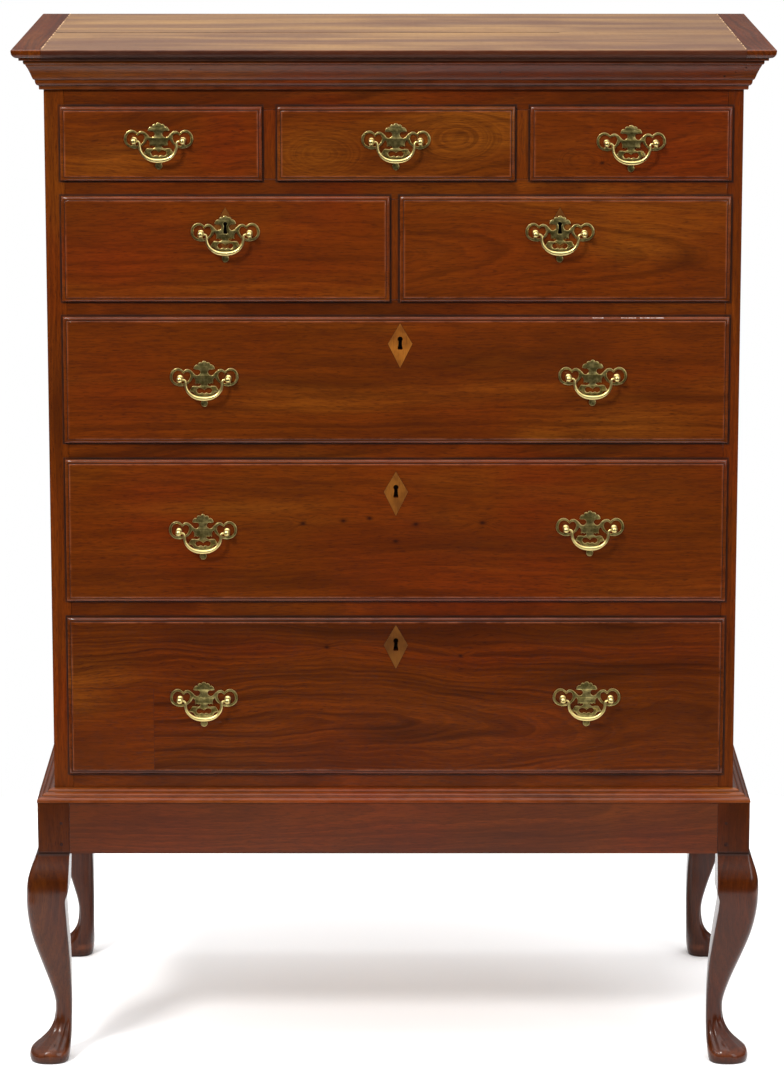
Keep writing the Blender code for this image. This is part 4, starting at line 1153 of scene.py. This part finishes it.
def ear_hole(side):
    """The opening round a post's boss, which stays joined to the plate below the post."""
    boss = arc((POST, 0), BOSS, -62, 242, 10)
    around = [
        (33.4, -8.4, 0), (28.8, -7.6), (24.6, -4.8), (21.6, -0.4), (20.6, 4.4), (22.6, 8.6), (26.8, 9.3),
        (30.7, 6.2, 0), (34.2, 9.9), (39.6, 11.3), (44.8, 8.0), (46.6, 2.0), (45.2, -4.2), (39.4, -8.2, 0),
    ]
    return [(side * x, z, *corner) for x, z, *corner in boss + around]


def scroll_hole():
    return mirrored([
        (0, -18.0, 0), (2.6, -15.8), (6.6, -14.6), (10.8, -16.8), (10.8, -20.8), (7.4, -23.2), (3.2, -21.8),
        (0, -23.6, 0),
    ])


def key_slot():
    return [(x / MM, z / MM, *corner) for x, z, *corner in keyhole(0.0, EYE_TO_PIVOT, -PLATE_KEY_NARROWER)]


def pull_mesh(name, holes):
    """A plate with its bosses and two ball-headed posts."""
    outlines = [in_metres(outline) for outline in (plate_outline(), *holes)]
    mesh = flat_shape(name, outlines, PLATE_THICK / 2, PLATE_EASE)
    mesh.transform(Matrix.Translation((0.0, -PLATE_THICK / 2, 0.0)))
    bm = as_bmesh(mesh)
    lay = Matrix.Rotation(math.pi / 2, 4, "X")
    reach = (PIVOT_OUT - FACE_OUT - GAP) / MM
    profile = [(BOSS - 0.2, 0.8), (BOSS - 0.3, 2.0), (BOSS - 1.0, 2.7), (SHANK + 0.5, 3.1), (SHANK, 3.8),
               (SHANK, reach - 5.4), (SHANK + 0.8, reach - 4.6), *arc((0, reach), BALL + 0.1, -62, 84, 12)]
    for side in (-1, 1):
        add_turning(bm, profile, Matrix.Translation((side * POST * MM, 0.0, 0.0)) @ lay, 24)
    return mesh_of(bm, name)


# (x, z, radius) from a pin to the middle of a hanging bail
BAIL_LINE = (
    (33.2, 0.0, 1.2), (30.6, 0.0, 1.3), (29.0, -0.4, 1.5), (27.7, -1.7, 1.75), (27.0, -3.8, 1.85),
    (26.9, -6.2, 2.0), (26.8, -8.8, 2.05), (26.3, -12.0, 2.1), (25.0, -15.6, 2.2), (22.9, -18.9, 2.15),
    (20.2, -21.8, 2.3), (17.0, -24.3, 2.5), (13.2, -26.3, 2.75), (9.4, -27.5, 3.0), (5.2, -28.2, 3.15),
    (0.0, -28.5, 3.2),
)


def bail_mesh():
    """A U that hangs from two pins and swells towards the middle, a little flattened where it is held."""
    half = [Vector(point) * MM for point in BAIL_LINE]
    line = half + [Vector((-p.x, p.y, p.z)) for p in half[-2::-1]]
    angles = [2 * math.pi * k / 18 for k in range(18)]
    rings = []
    for i, point in enumerate(line):
        ahead, behind = line[min(i + 1, len(line) - 1)], line[max(i - 1, 0)]
        along = Vector((ahead.x - behind.x, 0.0, ahead.y - behind.y)).normalized()
        side = along.cross(Vector((0.0, 1.0, 0.0))) * point.z
        front = Vector((0.0, point.z * 0.92, 0.0))
        middle = Vector((point.x, 0.0, point.y))
        rings.append([middle + side * math.cos(a) + front * math.sin(a) for a in angles])
    return loft("bail", rings)


def nuts_mesh():
    """The two square nuts and threaded ends behind a drawer's front."""
    bm = bmesh.new()
    back, half = FACE_OUT + GAP + 15 * MM, 4.5 * MM
    lay = Matrix.Rotation(-math.pi / 2, 4, "X")
    for x in (-POST * MM, POST * MM):
        add_block(bm, (x - half, back, -half), (x + half, back + 3 * MM, half), 0.5 * MM)
        add_turning(bm, [(1.9, 0.0), (1.9, 5.2), (1.4, 5.8)],
                    Matrix.Translation((x, back + 0.2 * MM, 0.0)) @ lay, 12)
    return mesh_of(bm, "nuts")


def pulls():
    plate_brass, bail_brass = brass("plate_brass", 0.9), brass("bail_brass", 0.25)
    holes = [ear_hole(-1), ear_hole(1), scroll_hole()]
    plate, key_plate = pull_mesh("pull", holes), pull_mesh("pull_with_keyhole", [*holes, key_slot()])
    bail, nuts = bail_mesh(), nuts_mesh()
    for name in PULLS:
        drawer = max((d for d in DRAWERS if name.startswith(d)), key=len)
        body, pivot = f"drawer_{drawer}", HINGES[name]
        seat = (pivot.x, FACE - GAP, pivot.z)
        mesh = key_plate if drawer in KEYS and drawer not in KITES else plate
        piece(f"pull_{name}", mesh, plate_brass, body, [f"pull_plate_{name}"], seat)
        piece(f"pull_{name}_nuts", nuts, plate_brass, body, at=seat)
        piece(f"pull_{name}_bail", bail, bail_brass, f"bail_{name}", [f"pull_bail_{name}"], pivot)


# The drawers' boards, the old repair and the worn lip

LOOKS = {
    "top_left": Board(
        10.3, heart=(-0.2, 0.06, 1.46), tilt=0.06, spacing=0.012, warp=0.016, figure=0.3, light=0.25,
        red=0.8, dark=0.6, tints=[(-0.40, 1.375, 0.03, 2.5, "light"), (-0.36, 1.43, 0.016, 4.0, "dark"),
                                  (-0.25, 1.385, 0.03, 2.0, "red")]),
    "top_middle": Board(
        11.9, heart=(0.0, 0.05, 1.40), tilt=0.05, spacing=0.0075, warp=0.010, figure=0.35, light=0.7,
        red=0.2, dark=0.4, ovals=[(0.092, 1.408, 0.034), (-0.105, 1.385, 0.040)],
        tints=[(0.09, 1.405, 0.04, 2.0, "light"), (-0.12, 1.38, 0.05, 1.4, "light"),
               (0.098, 1.412, 0.004, 2.6, "dark")]),
    "top_right": Board(
        12.7, heart=(0.3, 0.05, 1.42), tilt=0.05, spacing=0.009, warp=0.010, figure=0.3, light=0.3, red=0.6,
        ovals=[(0.275, 1.375, 0.018)], knots=[(0.305, 1.372, 0.008)], spots=[(0.19, 1.405, 0.0022)],
        tints=[(0.38, 1.41, 0.03, 3.0, "red")]),
    "second_left": Board(
        13.6, heart=(-0.3, 0.09, 1.30), tilt=0.01, spacing=0.010, warp=0.005, figure=0.3, light=0.25,
        red=0.6, tints=[(-0.42, 1.22, 0.04, 2.0, "red")]),
    "second_right": Board(
        15.2, heart=(0.30, 0.06, 1.235), tilt=0.10, spacing=0.0085, warp=0.007, figure=0.35, red=0.3,
        tints=[(0.43, 1.225, 0.02, 2.0, "dark"), (0.36, 1.255, 0.03, 2.5, "light")]),
    "third": Board(
        17.1, heart=(-0.1, 0.10, 1.10), tilt=0.012, spacing=0.011, figure=0.32, red=0.3,
        tints=[(0.36, 0.985, 0.030, 3.5, "light"), (0.22, 0.965, 0.015, 3.0, "light"),
               (-0.40, 1.03, 0.08, 1.2, "red"), (0.40, 1.03, 0.015, 4.0, "dark"),
               (0.15, 1.075, 0.02, 8.0, "dark"), (-0.15, 1.045, 0.012, 14.0, "dark")]),
    "fourth": Board(
        18.5, heart=(0.1, 0.08, 0.86), tilt=0.02, spacing=0.009, figure=0.25, light=0.2, red=0.6, dark=0.4,
        knots=[(-0.135, 0.834, 0.011), (0.132, 0.835, 0.011)],
        spots=[(0.033, 0.833, 0.0035), (-0.036, 0.842, 0.003), (0.003, 0.807, 0.003),
               (-0.075, 0.838, 0.003)],
        tints=[(0.1, 0.80, 0.022, 12.0, "dark"), (-0.25, 0.855, 0.012, 12.0, "light")]),
    "bottom": Board(
        20.4, heart=(0.30, 0.045, 0.525), tilt=0.08, spacing=0.0072, warp=0.015, figure=0.5, light=0.2,
        dark=0.8, knots=[(-0.10, 0.645, 0.009), (0.10, 0.632, 0.009)],
        tints=[(0.0, 0.672, 0.020, 18.0, "dark"), (0.0, 0.672, 0.016, 18.0, "dark"),
               (0.28, 0.640, 0.014, 14.0, "red"), (0.10, 0.628, 0.014, 12.0, "red"),
               (-0.2, 0.635, 0.018, 5.0, "red"), (-0.48, 0.60, 0.02, 4.0, "light")]),
}
TONES = {"top_middle": 0.92, "third": 0.94, "fourth": 0.88, "bottom": 0.80}
PATCH_WIDTH, PATCH_SHARE = 128 * MM, 0.55
LIP_CHIPS = ((0.293, 0.309), (0.335, 0.357), (0.363, 0.398))


def bottom_patch():
    """The old repair in the bottom drawer's lower left corner, with its glue line."""
    low, high = FRONTS["bottom"]
    left, foot, back = low.x + 7.6 * MM, low.z + 7.6 * MM, FACE + 0.3 * MM
    right, head = low.x + PATCH_WIDTH, low.z + PATCH_SHARE * (high.z - low.z)
    wood = walnut("drawer_bottom_patch", Board(
        23.3, heart=(-0.4, 0.08, 0.62), figure=0.25, light=0.5, red=0.3,
        tints=[(-0.48, 0.57, 0.03, 2.0, "light")]), tone=TONES["bottom"])
    boards("drawer_bottom_patch", [((left, FACE - 0.10 * MM, foot), (right, back, head))],
           wood, "drawer_bottom", ease=0.08 * MM)
    wide, start, front = 0.5 * MM, 0.05 * MM, FACE - 0.07 * MM
    boards("drawer_bottom_patch_line", [
        ((right + start, front, foot), (right + wide, back, head + wide)),
        ((left, front, head + start), (right - wide, back, head + wide)),
    ], mottled("patch_glue", rgb(30, 12, 7), rgb(60, 26, 14), 0.5, 900.0), "drawer_bottom",
           ease=0.04 * MM)


def third_lip_chips():
    """Three places where the finish is worn white on the third drawer's upper lip."""
    head, front = FRONTS["third"][1].z, CASE_FRONT - THUMBNAIL_START * MM
    boards("drawer_third_lip_chips", [
        ((start, front - 3.2 * MM, head - 1.9 * MM), (end, front, head - 0.9 * MM))
        for start, end in LIP_CHIPS
    ], mottled("chipped_finish", rgb(150, 110, 92), rgb(214, 200, 192), 0.6, 260.0), "drawer_third",
           ease=0.2 * MM)


def drawers():
    side_wood, bottom_wood = raw_wood("drawer_side", 0.8, "yxz"), raw_wood("drawer_bottom", 1.9, "xzy")
    for name in DRAWERS:
        drawer_front(name, LOOKS[name], TONES.get(name, 1.0))
        drawer_box(name, side_wood, bottom_wood)
    bottom_patch()
    third_lip_chips()
    escutcheons()
    pulls()


# Camera, light and floor

CAMERA_AWAY, CAMERA_HEIGHT, CAMERA_DOWN = 6.438, 2.144, 11.73
FLOOR_RADIUS = 1.45


def camera():
    data = bpy.data.cameras.new("camera")
    data.lens, data.sensor_width, data.clip_end = 147.1, 36.0, 200.0
    at = (-2.5 * MM, CASE_FRONT - CAMERA_AWAY, CAMERA_HEIGHT)
    turn = (math.radians(90 - CAMERA_DOWN), 0.0, 0.0)
    bpy.context.scene.camera = add("camera", data, at, turn)


def area_light(name, at, look, size, power, colour=(1.0, 1.0, 1.0)):
    data = bpy.data.lights.new(name, "AREA")
    data.shape = "RECTANGLE"
    data.size, data.size_y = size
    data.energy = power
    data.color = colour
    turn = (Vector(look) - Vector(at)).to_track_quat("-Z", "Y").to_euler()
    add(name, data, at, turn)


def studio():
    """White to the eye, dim near the horizon and bright overhead as a light, with three soft boxes."""
    scene = bpy.context.scene
    world = bpy.data.worlds.new("studio")
    world.use_nodes = True
    tree = world.node_tree
    new, link = tree.nodes.new, tree.links.new
    sky, shown = tree.nodes["Background"], new("ShaderNodeBackground")
    for background in (sky, shown):
        background.inputs["Color"].default_value = (1.0, 1.0, 1.0, 1.0)
    rise = new("ShaderNodeSeparateXYZ")
    link(new("ShaderNodeTexCoord").outputs["Generated"], rise.inputs[0])
    strength = new("ShaderNodeMapRange")
    strength.interpolation_type = "SMOOTHSTEP"
    link(rise.outputs["Z"], strength.inputs["Value"])
    for socket, value in (("From Min", 0.06), ("From Max", 0.65), ("To Min", 0.05), ("To Max", 1.4)):
        strength.inputs[socket].default_value = value
    link(strength.outputs[0], sky.inputs["Strength"])
    blend = new("ShaderNodeMixShader")
    link(new("ShaderNodeLightPath").outputs["Is Camera Ray"], blend.inputs["Fac"])
    link(sky.outputs[0], blend.inputs[1])
    link(shown.outputs[0], blend.inputs[2])
    link(blend.outputs[0], tree.nodes["World Output"].inputs["Surface"])
    scene.world = world
    scene.view_settings.view_transform = "Standard"
    area_light("overhead", (0.0, -0.6, 4.2), (0.0, 0.0, 0.0), (3.6, 3.0), 94.0)
    area_light("left", (-2.4, -3.8, 4.0), (0.0, -0.2, 0.8), (0.8, 0.8), 212.0, (1.0, 0.985, 0.96))
    area_light("right", (3.2, -4.2, 2.2), (0.0, -0.2, 0.8), (2.0, 2.6), 76.0)


def floor():
    bm = bmesh.new()
    bmesh.ops.create_circle(bm, cap_ends=True, segments=96, radius=FLOOR_RADIUS)
    mesh = bpy.data.meshes.new("floor")
    bm.to_mesh(mesh)
    bm.free()
    tree = Nodes("floor")
    tree.shader.inputs["Emission Color"].default_value = (1.0, 1.0, 1.0, 1.0)
    mesh.materials.append(tree.finish((0.94, 0.94, 0.95, 1.0), 0.8, emission=0.10))
    add("floor", mesh)


camera()
studio()
floor()
stand()
stand_rails()
waist()
case()
top_and_cornice()
drawers()
